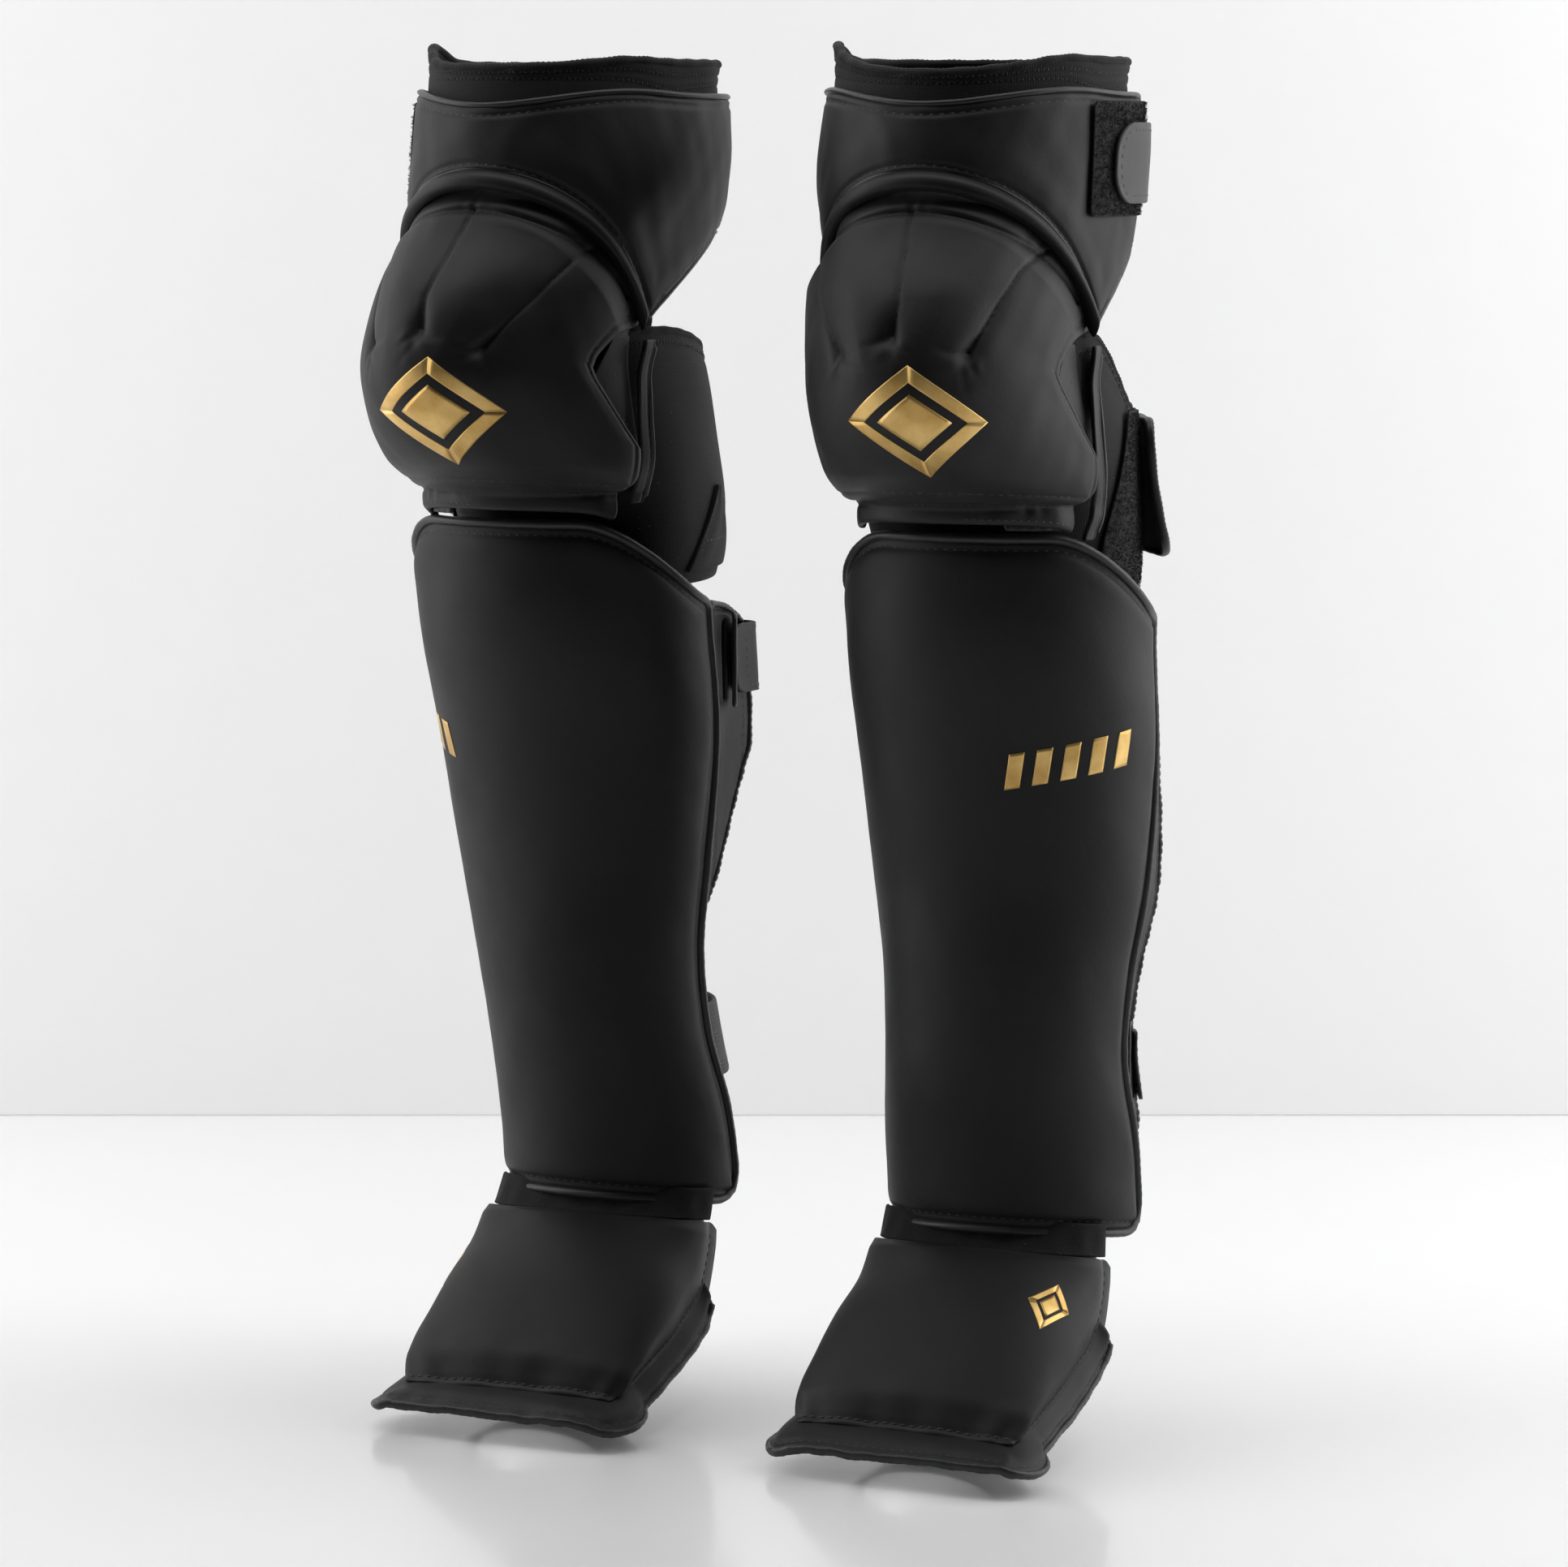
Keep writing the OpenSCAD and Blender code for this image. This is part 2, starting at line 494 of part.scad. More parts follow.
shin_cover("left_");  // left_shin_cover
shin_foam("left_");  // left_shin_foam
shin_lining("left_");  // left_shin_lining
shin_binding("left_");  // left_shin_binding
shin_wing_inner("left_");  // left_shin_wing_inner
shin_wing_outer("left_");  // left_shin_wing_outer
calf_strap_upper("left_");  // left_calf_strap_upper
calf_strap_lower("left_");  // left_calf_strap_lower
calf_tab_upper("left_");  // left_calf_tab_upper
calf_tab_lower("left_");  // left_calf_tab_lower
instep_cover("left_");  // left_instep_cover
instep_foam("left_");  // left_instep_foam
instep_flange("left_");  // left_instep_flange
ankle_flex_panel("left_");  // left_ankle_flex_panel
sole_strap("left_");  // left_sole_strap
heel_strap("left_");  // left_heel_strap
knee_cover("left_");  // left_knee_cover
knee_foam("left_");  // left_knee_foam
knee_skirt("left_");  // left_knee_skirt
knee_strip_inner("left_");  // left_knee_strip_inner
knee_strip_outer("left_");  // left_knee_strip_outer
calf_sleeve("left_");  // left_calf_sleeve
calf_loop_patch("left_");  // left_calf_loop_patch
knee_strap("left_");  // left_knee_strap
cuff_cover("left_");  // left_cuff_cover
cuff_pad("left_");  // left_cuff_pad
cuff_ridge("left_");  // left_cuff_ridge
thigh_sleeve("left_");  // left_thigh_sleeve
thigh_loop_patch("left_");  // left_thigh_loop_patch
thigh_strap("left_");  // left_thigh_strap
shin_cover("right_");  // right_shin_cover
shin_foam("right_");  // right_shin_foam
shin_lining("right_");  // right_shin_lining
shin_binding("right_");  // right_shin_binding
shin_wing_inner("right_");  // right_shin_wing_inner
shin_wing_outer("right_");  // right_shin_wing_outer
calf_strap_upper("right_");  // right_calf_strap_upper
calf_strap_lower("right_");  // right_calf_strap_lower
calf_tab_upper("right_");  // right_calf_tab_upper
calf_tab_lower("right_");  // right_calf_tab_lower
instep_cover("right_");  // right_instep_cover
instep_foam("right_");  // right_instep_foam
instep_flange("right_");  // right_instep_flange
ankle_flex_panel("right_");  // right_ankle_flex_panel
sole_strap("right_");  // right_sole_strap
heel_strap("right_");  // right_heel_strap
knee_cover("right_");  // right_knee_cover
knee_foam("right_");  // right_knee_foam
knee_skirt("right_");  // right_knee_skirt
knee_strip_inner("right_");  // right_knee_strip_inner
knee_strip_outer("right_");  // right_knee_strip_outer
calf_sleeve("right_");  // right_calf_sleeve
calf_loop_patch("right_");  // right_calf_loop_patch
knee_strap("right_");  // right_knee_strap
cuff_cover("right_");  // right_cuff_cover
cuff_pad("right_");  // right_cuff_pad
cuff_ridge("right_");  // right_cuff_ridge
thigh_sleeve("right_");  // right_thigh_sleeve
thigh_loop_patch("right_");  // right_thigh_loop_patch
thigh_strap("right_");  // right_thigh_strap
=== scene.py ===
import json
import math

import bmesh
import bpy
import numpy as np
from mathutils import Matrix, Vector


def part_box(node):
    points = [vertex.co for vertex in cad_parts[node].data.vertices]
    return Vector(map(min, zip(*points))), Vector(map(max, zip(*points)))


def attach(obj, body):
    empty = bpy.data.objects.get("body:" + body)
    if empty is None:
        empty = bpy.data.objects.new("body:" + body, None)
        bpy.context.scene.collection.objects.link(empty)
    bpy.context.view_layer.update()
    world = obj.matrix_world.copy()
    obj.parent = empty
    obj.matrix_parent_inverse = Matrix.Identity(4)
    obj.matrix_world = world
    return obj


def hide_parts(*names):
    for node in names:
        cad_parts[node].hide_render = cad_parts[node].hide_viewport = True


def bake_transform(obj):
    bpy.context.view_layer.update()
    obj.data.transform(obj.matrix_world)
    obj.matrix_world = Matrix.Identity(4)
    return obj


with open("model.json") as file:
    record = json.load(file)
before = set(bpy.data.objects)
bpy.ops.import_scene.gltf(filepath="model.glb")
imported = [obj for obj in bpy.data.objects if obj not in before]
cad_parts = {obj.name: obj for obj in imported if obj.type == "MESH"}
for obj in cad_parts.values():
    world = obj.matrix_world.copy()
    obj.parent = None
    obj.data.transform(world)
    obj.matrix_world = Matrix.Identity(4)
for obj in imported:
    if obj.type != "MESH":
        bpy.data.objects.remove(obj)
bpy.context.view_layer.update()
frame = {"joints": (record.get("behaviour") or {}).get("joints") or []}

JOINTS = {j["name"]: j for j in frame["joints"]}
MM = 0.001

# ---------------------------------------------------------------- the leg's own frame
# Each leg is built as the left one, in millimetres: x outwards, y back, z up.
# The knee's hinge gives the place and the turn of the leg in the row frame.
knee_hinge = JOINTS["left_knee_bend"]
HALF_GAP = knee_hinge["pos_m"][0] / MM
TURN = math.atan2(-knee_hinge["axis"][1], -knee_hinge["axis"][0])


def top_of(node):
    """Height of a CAD node's highest point, in mm."""
    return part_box("left_" + node)[1][2] / MM


def place(p, side):
    """Points in a leg's frame, in mm, to the row frame in metres."""
    p = np.asarray(p, float).reshape(-1, 3)
    c, s = math.cos(TURN), math.sin(TURN)
    x = HALF_GAP + c * p[:, 0] - s * p[:, 1]
    y = s * p[:, 0] + c * p[:, 1]
    return np.stack([side * x, y, p[:, 2]], 1) * MM


# Horizontal sections: height, centre x and y, half depth in front and behind, half width
LIMB = np.array([
    [95, 2, 84, 36, 46, 34],
    [215, 4, 72, 40, 44, 38],
    [290, 5, 60, 46, 52, 48],
    [370, 5, 46, 50, 70, 50],
    [405, 3.5, 44, 46, 86, 53.5],
    [430, 2.5, 38, 46, 88, 56.5],
    [475, 2, 24, 73, 86, 58],
    [513, 0, 13, 84, 76, 56],
], float)
SHIN = np.array([
    [90, 1, 82, 54, 54, 60.5],
    [136, 1, 75, 55, 54, 61],
    [176, 2, 64, 55, 54, 58],
    [216, 4.5, 58, 54, 54, 60],
    [256, 6, 57, 56, 56, 65.5],
    [316, 6, 47, 60, 64, 69.5],
    [376, 6, 32, 64, 72, 71],
    [432, 7, 28, 62, 78, 74],
], float)
DOME = np.array([
    [436, 3, 20, 69, 60, 66],
    [452, 2, 12, 96, 60, 68],
    [476, 1, 4, 113, 60, 67.5],
    [500, 0, 0, 117, 60, 66],
    [530, -2, 4, 109, 60, 66],
    [556, -3, 10, 90, 60, 66],
    [578, -4, 18, 81, 60, 66],
], float)
CUFF = np.array([
    [500, 1, 14, 84, 60, 65],
    [540, -1, 24, 93, 64, 67],
    [580, -3.5, 30, 96, 66, 71],
    [614, -3, 34, 93, 66, 70.5],
    [640, -3, 37, 90, 66, 69],
], float)


def sections(table, z):
    """Every column of a section table at heights z, smooth between the rows."""
    zs = table[:, 0]
    z = np.clip(z, zs[0], zs[-1])
    i = np.clip(np.searchsorted(zs, z, side="right") - 1, 0, len(zs) - 2)
    slope = np.empty_like(table)
    slope[1:-1] = (table[2:] - table[:-2]) / (zs[2:] - zs[:-2])[:, None]
    slope[0] = (table[1] - table[0]) / (zs[1] - zs[0])
    slope[-1] = (table[-1] - table[-2]) / (zs[-1] - zs[-2])
    h = (zs[i + 1] - zs[i])[:, None]
    s = ((z - zs[i])[:, None]) / h
    return ((2 * s**3 - 3 * s**2 + 1) * table[i] + (s**3 - 2 * s**2 + s) * h * slope[i]
            + (3 * s**2 - 2 * s**3) * table[i + 1] + (s**3 - s**2) * h * slope[i + 1])


def wall(table, angle, z, off):
    """Point on a section table's surface. The angle is in degrees, 0 in front, positive outwards."""
    angle, z, off = np.broadcast_arrays(*(np.asarray(v, float) for v in (angle, z, off)))
    shape = angle.shape
    angle, z, off = angle.ravel(), z.ravel(), off.ravel()
    c = sections(table, z)
    a = np.radians(angle)
    depth = np.where(np.cos(a) > 0, c[:, 3], c[:, 4])
    r = 1 / np.sqrt((np.cos(a) / depth) ** 2 + (np.sin(a) / c[:, 5]) ** 2) + off
    return np.stack([c[:, 1] + r * np.sin(a), c[:, 2] - r * np.cos(a), z], 1).reshape(*shape, 3)


def mix(a, b, f):
    return a + (b - a) * f


def round_leg(s):
    """Angle of a share of the way round the leg, starting behind it."""
    return -360 * (0.5 - s)


def ease(x, a=0.0, b=1.0):
    x = np.clip((np.asarray(x, float) - a) / (b - a), 0, 1)
    return x * x * (3 - 2 * x)


def hump(x, width):
    """1 at x = 0, falling smoothly to 0 a few widths away."""
    return np.exp(-((np.asarray(x, float) / width) ** 2))


def ripple(p, wave, seed, waves=7):
    """Smooth waviness from -1 to 1 over points in mm."""
    g = np.random.default_rng(seed)
    out = np.zeros(p.shape[:-1])
    for _ in range(waves):
        d = g.normal(size=3)
        d /= np.linalg.norm(d)
        out += np.sin((p @ d) * 2 * np.pi / (wave * g.uniform(0.7, 1.5)) + g.uniform(0, 6.28))
    return out / waves ** 0.5 * 0.7


# ---------------------------------------------------------------- mesh making

def new_mesh(name, verts, faces, side, uv=None, rim=None):
    """A mesh object from a leg's points in mm. uv is one pair per vertex, in metres."""
    me = bpy.data.meshes.new(name)
    verts = np.asarray(verts, float)
    me.from_pydata(place(verts, side).tolist(), [], [list(map(int, f)) for f in faces])
    me.validate()
    if uv is not None:
        layer = me.uv_layers.new(name="UVMap")
        index = np.zeros(len(me.loops), np.int32)
        me.loops.foreach_get("vertex_index", index)
        layer.data.foreach_set("uv", np.asarray(uv, float)[index].astype(np.float32).ravel())
    if rim is not None:
        at = me.attributes.new("rim", "FLOAT", "POINT")
        at.data.foreach_set("value", np.asarray(rim, np.float32))
    bm = bmesh.new()
    bm.from_mesh(me)
    bmesh.ops.recalc_face_normals(bm, faces=bm.faces)
    bm.to_mesh(me)
    bm.free()
    me.polygons.foreach_set("use_smooth", [True] * len(me.polygons))
    obj = bpy.data.objects.new(name, me)
    bpy.context.scene.collection.objects.link(obj)
    return obj


def dense(n, edge=2.2):
    """n + 1 values from 0 to 1, closer together towards both ends."""
    x = np.linspace(-1, 1, n + 1)
    return 0.5 + 0.5 * np.sign(x) * (1 - (1 - np.abs(x)) ** edge)


def arc(p, axis):
    """Arc length along one axis of a grid of points, from its middle."""
    d = np.linalg.norm(np.diff(p, axis=axis), axis=-1)
    c = np.cumsum(d, axis=axis)
    zero = np.zeros_like(np.take(c, [0], axis=axis))
    c = np.concatenate([zero, c], axis=axis)
    return c - np.take(c, [c.shape[axis] // 2], axis=axis)


class Slab:
    """A closed soft body between an outer and an inner surface, with rounded edges.

    point(s, t, off) is a place in the leg's frame; outer and inner give off over s and t,
    and inner may be one plain depth.
    size is its rough width and height in mm, corner the radius of its corners,
    and roll how far from the edge its faces start to round over.
    """

    def __init__(self, point, outer, inner, ns, nt, size, corner=0.0, roll=None, ring=False,
                 s_at=None, t_at=None):
        self.point, self.outer_off, self.ring = point, outer, ring
        w, h = size
        t = dense(nt) if t_at is None else np.asarray(t_at)
        s = np.linspace(0, 1, ns + 1) if ring else (dense(ns) if s_at is None else np.asarray(s_at))
        S, T = np.meshgrid(s, t, indexing="ij")
        corners = corner if isinstance(corner, (tuple, list)) else (corner, corner)
        if not ring:
            for radius, edge in zip(corners, (T * h, (1 - T) * h)):
                if radius:
                    inside = np.clip(radius - edge, 0, radius)
                    shrink = radius - np.sqrt(np.maximum(radius**2 - inside**2, 0))
                    S = 0.5 + (S - 0.5) * (1 - 2 * shrink / w)
        x = w * 4 if ring else np.minimum(s, 1 - s)[:, None] * w
        y = np.minimum(t, 1 - t)[None, :] * h
        edge = np.minimum(x, y) if not ring else np.broadcast_to(y, S.shape)
        o = outer(S, T) + 0 * S
        i = (inner(S, T) if callable(inner) else inner) + 0 * S
        half = (o - i) / 2
        reach = half if roll is None else np.full_like(half, roll)
        f = np.clip(edge / np.maximum(reach, 0.2), 0, 1)
        profile = np.sqrt(np.clip(1 - (1 - f) ** 2, 0, 1))
        middle = (o + i) / 2
        self.S, self.T, self.edge = S, T, edge
        self.outer = point(S, T, middle + half * profile)
        self.inner = point(S, T, middle - half * profile)

    def build(self, name, side):
        a, b = self.S.shape
        outer = self.outer.reshape(-1, 3)
        u = arc(self.outer, 0) * MM
        v = arc(self.outer, 1) * MM
        uv = np.stack([u, v], -1).reshape(-1, 2)
        ids = np.arange(a * b).reshape(a, b)
        border = np.zeros((a, b), bool)
        border[:, 0] = border[:, -1] = True
        if not self.ring:
            border[0] = border[-1] = True
        inner_ids = ids.copy()
        free = ~border
        inner_ids[free] = a * b + np.arange(free.sum())
        verts = np.concatenate([outer, self.inner[free]])
        uvs = np.concatenate([uv, uv.reshape(a, b, 2)[free]])
        rim = np.exp(-self.edge / 4.0)
        rim = np.concatenate([rim.ravel(), rim[free]])
        if self.ring:
            ids = ids.copy()
            ids[-1] = ids[0]
            inner_ids = inner_ids.copy()
            inner_ids[-1] = inner_ids[0]
        q = np.stack([ids[:-1, :-1], ids[1:, :-1], ids[1:, 1:], ids[:-1, 1:]], -1).reshape(-1, 4)
        k = np.stack([inner_ids[:-1, :-1], inner_ids[:-1, 1:], inner_ids[1:, 1:], inner_ids[1:, :-1]],
                     -1).reshape(-1, 4)
        faces = np.concatenate([q, k])
        used = np.unique(faces)
        remap = -np.ones(len(verts), int)
        remap[used] = np.arange(len(used))
        return new_mesh(name, verts[used], remap[faces], side, uvs[used], rim[used])

    def surface(self, s, t, lift=0.0):
        """Points on the outer face, lifted a little."""
        s, t = np.asarray(s, float), np.asarray(t, float)
        return self.point(s, t, self.outer_off(s, t) + lift)

    def normal(self, s, t):
        e = 1e-3
        s0, s1 = np.clip(s - e, 0, 1), np.clip(s + e, 0, 1)
        t0, t1 = np.clip(t - e, 0, 1), np.clip(t + e, 0, 1)
        n = np.cross(self.surface(s1, t) - self.surface(s0, t), self.surface(s, t1) - self.surface(s, t0))
        n /= np.linalg.norm(n, axis=-1, keepdims=True)
        out = self.surface(s, t, 1.0) - self.surface(s, t)
        return n * np.sign(np.sum(n * out, -1, keepdims=True))


def even(path, step):
    """A path's running length at each point, and lengths spaced evenly along it."""
    d = np.linalg.norm(np.diff(path, axis=0), axis=1)
    c = np.concatenate([[0], np.cumsum(d)])
    n = max(2, int(round(c[-1] / step)) + 1)
    return c, np.linspace(0, c[-1], n)


def along(path, c, x):
    return np.stack([np.interp(x, c, path[:, k]) for k in range(path.shape[1])], 1)


def frames(p, up, closed=False):
    """Directions along, up and across a path."""
    if closed:
        d = np.roll(p, -1, 0) - np.roll(p, 1, 0)
    else:
        d = np.gradient(p, axis=0)
    d /= np.maximum(np.linalg.norm(d, axis=1, keepdims=True), 1e-9)
    u = up - d * np.sum(up * d, 1, keepdims=True)
    u /= np.maximum(np.linalg.norm(u, axis=1, keepdims=True), 1e-9)
    return d, u, np.cross(d, u)


STITCHES = {}
STITCH_SINK = 0.15


def stitch(key, path, up, length=3.0, gap=1.5, radius=0.42):
    """Adds a row of thread stitches along a path to the group called key."""
    c, x = even(path, 1.0)
    step = length + gap
    n = max(1, int(c[-1] // step))
    starts = (c[-1] - n * step + gap) / 2 + np.arange(n) * step
    rings = np.array([0.0, 0.18, 0.5, 0.82, 1.0])
    fat = np.array([0.45, 0.95, 1.0, 0.95, 0.45])
    high = np.array([-0.9, -0.1, 0.12, -0.1, -0.9])
    sides = 6
    verts, faces = STITCHES.setdefault(key, ([], []))
    for x0 in starts:
        at = along(path, c, x0 + rings * length)
        _, u, w = frames(at, along(up, c, x0 + rings * length))
        centre = at + u * (high * radius - STITCH_SINK)[:, None]
        base = sum(len(v) for v in verts)
        q = np.arange(sides) * 2 * np.pi / sides
        ring = (centre[:, None] + (radius * fat)[:, None, None]
                * (np.cos(q)[None, :, None] * u[:, None] * 0.8 + np.sin(q)[None, :, None] * w[:, None]))
        verts.append(ring.reshape(-1, 3))
        for i in range(len(rings) - 1):
            for j in range(sides):
                j2 = (j + 1) % sides
                faces.append((base + i * sides + j, base + i * sides + j2,
                              base + (i + 1) * sides + j2, base + (i + 1) * sides + j))
        faces.append(tuple(base + j for j in range(sides))[::-1])
        faces.append(tuple(base + (len(rings) - 1) * sides + j for j in range(sides)))


def stitches_done(key, name, side):
    verts, faces = STITCHES.pop(key)
    v = np.concatenate(verts)
    uv = np.stack([v[:, 0] + v[:, 1], v[:, 2]], 1) * MM
    return new_mesh(name, v, faces, side, uv)


def tube(name, side, path, up, rx, ry, closed=False, ribs=0.0, rib_step=4.0, step=2.0,
         sides=12):
    """A bound edge or piping: an oval swept along a path, gathered by its stitches every rib_step."""
    if closed:
        path = np.concatenate([path, path[:1]])
        up = np.concatenate([up, up[:1]])
    c, x = even(path, step)
    p, n = along(path, c, x), along(up, c, x)
    if closed:
        p, n, x = p[:-1], n[:-1], x[:-1]
    d, u, w = frames(p, n, closed)
    r = 1 + ribs * (np.abs(np.sin(np.pi * x / rib_step)) - 0.5) + ribs * 0.4 * np.sin(x * 0.37 + 2
                                                                                      * np.sin(x * 0.05))
    q = np.arange(sides) * 2 * np.pi / sides
    k = np.full(len(p), 1.0)
    if not closed:
        end = np.minimum(x, c[-1] - x)
        k = np.sqrt(np.clip(1 - (1 - np.clip(end / max(rx, ry), 0, 1)) ** 2, 0.0025, 1))
    ring = p[:, None] + (r * k)[:, None, None] * (
        ry * np.cos(q)[None, :, None] * u[:, None] + rx * np.sin(q)[None, :, None] * w[:, None])
    m = len(p)
    ids = np.arange(m * sides).reshape(m, sides)
    faces = []
    last = m if closed else m - 1
    for i in range(last):
        i2 = (i + 1) % m
        for j in range(sides):
            j2 = (j + 1) % sides
            faces.append((ids[i, j], ids[i, j2], ids[i2, j2], ids[i2, j]))
    if not closed:
        faces.append(tuple(ids[0])[::-1])
        faces.append(tuple(ids[-1]))
    uv = np.stack([np.repeat(x[:, None], sides, 1), np.repeat((q * rx)[None], m, 0)],
                  -1).reshape(-1, 2) * MM
    return new_mesh(name, ring.reshape(-1, 3), faces, side, uv, np.full(m * sides, 0.6))


# ---------------------------------------------------------------- materials

def nodes_of(name):
    m = bpy.data.materials.new(name)
    m.use_nodes = True
    tree = m.node_tree
    tree.nodes.clear()
    out = tree.nodes.new("ShaderNodeOutputMaterial")
    bsdf = tree.nodes.new("ShaderNodeBsdfPrincipled")
    tree.links.new(bsdf.outputs[0], out.inputs[0])
    return m, tree, bsdf


def add(tree, kind, inputs=None, **props):
    n = tree.nodes.new(kind)
    for k, v in props.items():
        setattr(n, k, v)
    for k, v in (inputs or {}).items():
        if isinstance(v, bpy.types.NodeSocket):
            tree.links.new(v, n.inputs[k])
        else:
            n.inputs[k].default_value = v
    return n


def uv_of(tree):
    return add(tree, "ShaderNodeTexCoord").outputs["UV"]


def math_node(tree, op, a, b=0.0):
    n = tree.nodes.new("ShaderNodeMath")
    n.operation = op
    for k, v in enumerate((a, b)):
        if isinstance(v, bpy.types.NodeSocket):
            tree.links.new(v, n.inputs[k])
        else:
            n.inputs[k].default_value = v
    return n.outputs[0]


def spread(tree, value, a, b, low=0.0, high=1.0):
    n = add(tree, "ShaderNodeMapRange", {"Value": value, "From Min": low, "From Max": high,
                                         "To Min": a, "To Max": b})
    return n.outputs[0]


def two_tone(tree, factor, dark, light):
    n = add(tree, "ShaderNodeMix", {0: factor}, data_type="RGBA")
    n.inputs[6].default_value = (*dark, 1)
    n.inputs[7].default_value = (*light, 1)
    return n.outputs[2]


def noise(tree, vector, scale, detail=2.0, rough=0.5, distortion=0.0):
    return add(tree, "ShaderNodeTexNoise",
               {"Vector": vector, "Scale": scale, "Detail": detail, "Roughness": rough,
                                            "Distortion": distortion})


def weave(tree, vector, scale, way, distortion, **more):
    """A banded wave along one way; more holds its detail."""
    inputs = {"Vector": vector, "Scale": scale, "Distortion": distortion}
    inputs.update({k.replace("_", " ").title(): v for k, v in more.items()})
    return add(tree, "ShaderNodeTexWave", inputs, wave_type="BANDS", bands_direction=way).outputs["Fac"]


def paint(tree, bsdf, tone, dark, light, rough):
    """Two-tone colour and roughness."""
    tree.links.new(two_tone(tree, tone, dark, light), bsdf.inputs["Base Color"])
    tree.links.new(rough, bsdf.inputs["Roughness"])


def emboss(tree, bsdf, height_, strength, distance, over=None):
    """A bump, laid over an earlier one if there is one."""
    inputs = {"Height": height_, "Strength": strength, "Distance": distance}
    if over:
        inputs["Normal"] = over
    n = add(tree, "ShaderNodeBump", inputs)
    tree.links.new(n.outputs[0], bsdf.inputs["Normal"])
    return n.outputs[0]


def fixed(bsdf, **values):
    for k, v in values.items():
        bsdf.inputs[k.replace("_", " ").replace("Ior", "IOR")].default_value = v


def leather(name, dark, light, rough=(0.5, 0.62), grain=1100, bump=0.12, coat=0.0, sheen=0.02):
    """Matte coated leather: fine pebbled grain, soft blotches, paler and smoother at worn edges."""
    m, t, b = nodes_of(name)
    v = uv_of(t)
    cells = add(t, "ShaderNodeTexVoronoi", {"Vector": v, "Scale": grain, "Randomness": 0.9},
                feature="SMOOTH_F1")
    pores = noise(t, v, grain * 2.3, 3.0)
    cloud = noise(t, v, 22.0, 4.0, 0.6)
    creases = noise(t, v, 90.0, 5.0, 0.62, 0.6)
    rim = add(t, "ShaderNodeAttribute", attribute_name="rim")
    worn = math_node(t, "MULTIPLY", rim.outputs["Fac"], spread(t, creases.outputs[0], 0.2, 1.0, 0.35, 0.65))
    tone = math_node(t, "ADD", spread(t, cloud.outputs[0], 0.1, 0.75, 0.3, 0.7),
                     math_node(t, "MULTIPLY", worn, 0.5))
    tone = math_node(t, "ADD", tone, spread(t, cells.outputs["Distance"], 0.1, -0.12, 0.0, 0.6))
    t.links.new(two_tone(t, tone, dark, light), b.inputs["Base Color"])
    r = math_node(t, "ADD", spread(t, cloud.outputs[0], rough[0], rough[1], 0.3, 0.7),
                  math_node(t, "MULTIPLY", worn, -0.10))
    t.links.new(r, b.inputs["Roughness"])
    height_ = math_node(t, "ADD", cells.outputs["Distance"],
                        math_node(t, "MULTIPLY", pores.outputs[0], 0.35))
    pebbles = emboss(t, b, height_, bump, 0.0002)
    emboss(t, b, creases.outputs[0], 0.10, 0.0012, pebbles)
    fixed(b, Sheen_Weight=sheen, Sheen_Roughness=0.5, Specular_Ior_Level=0.22)
    if coat:
        fixed(b, Coat_Weight=coat, Coat_Roughness=0.35)
    return m


def knit(name, dark, light, pitch=0.0011, lint=0.35):
    """Knit facing of neoprene: rows of tiny loops, a dusty sheen and specks of lint."""
    m, t, b = nodes_of(name)
    v = uv_of(t)
    rows = weave(t, v, 1 / pitch / 3.2, "Y", 1.4, detail=2.0, detail_scale=2.0)
    cols = weave(t, v, 1 / pitch / 3.9, "X", 1.0, detail=2.0, detail_scale=2.0)
    loops = math_node(t, "MULTIPLY", rows, cols)
    cloud = noise(t, v, 35.0, 5.0, 0.65)
    fuzz = noise(t, v, 2600.0, 2.0)
    specks = add(t, "ShaderNodeTexVoronoi", {"Vector": v, "Scale": 260.0, "Randomness": 1.0})
    dust = spread(t, specks.outputs["Distance"], 1.0, 0.0, 0.035, 0.10)
    some = noise(t, v, 70.0, 2.0)
    dust = math_node(t, "MULTIPLY", dust, spread(t, some.outputs[0], 0.0, 1.0, 0.5, 0.62))
    tone = math_node(t, "ADD", spread(t, cloud.outputs[0], 0.0, 0.6, 0.3, 0.7),
                     math_node(t, "MULTIPLY", loops, 0.45))
    base = two_tone(t, tone, dark, light)
    mixed = add(t, "ShaderNodeMix", {0: math_node(t, "MULTIPLY", dust, lint), 6: base}, data_type="RGBA")
    mixed.inputs[7].default_value = (0.32, 0.32, 0.33, 1)
    t.links.new(mixed.outputs[2], b.inputs["Base Color"])
    t.links.new(spread(t, cloud.outputs[0], 0.78, 0.95), b.inputs["Roughness"])
    h = math_node(t, "ADD", loops, math_node(t, "MULTIPLY", fuzz.outputs[0], 0.5))
    emboss(t, b, h, 0.5, 0.0003)
    fixed(b, Sheen_Weight=0.05, Sheen_Roughness=0.6, Specular_Ior_Level=0.2)
    return m


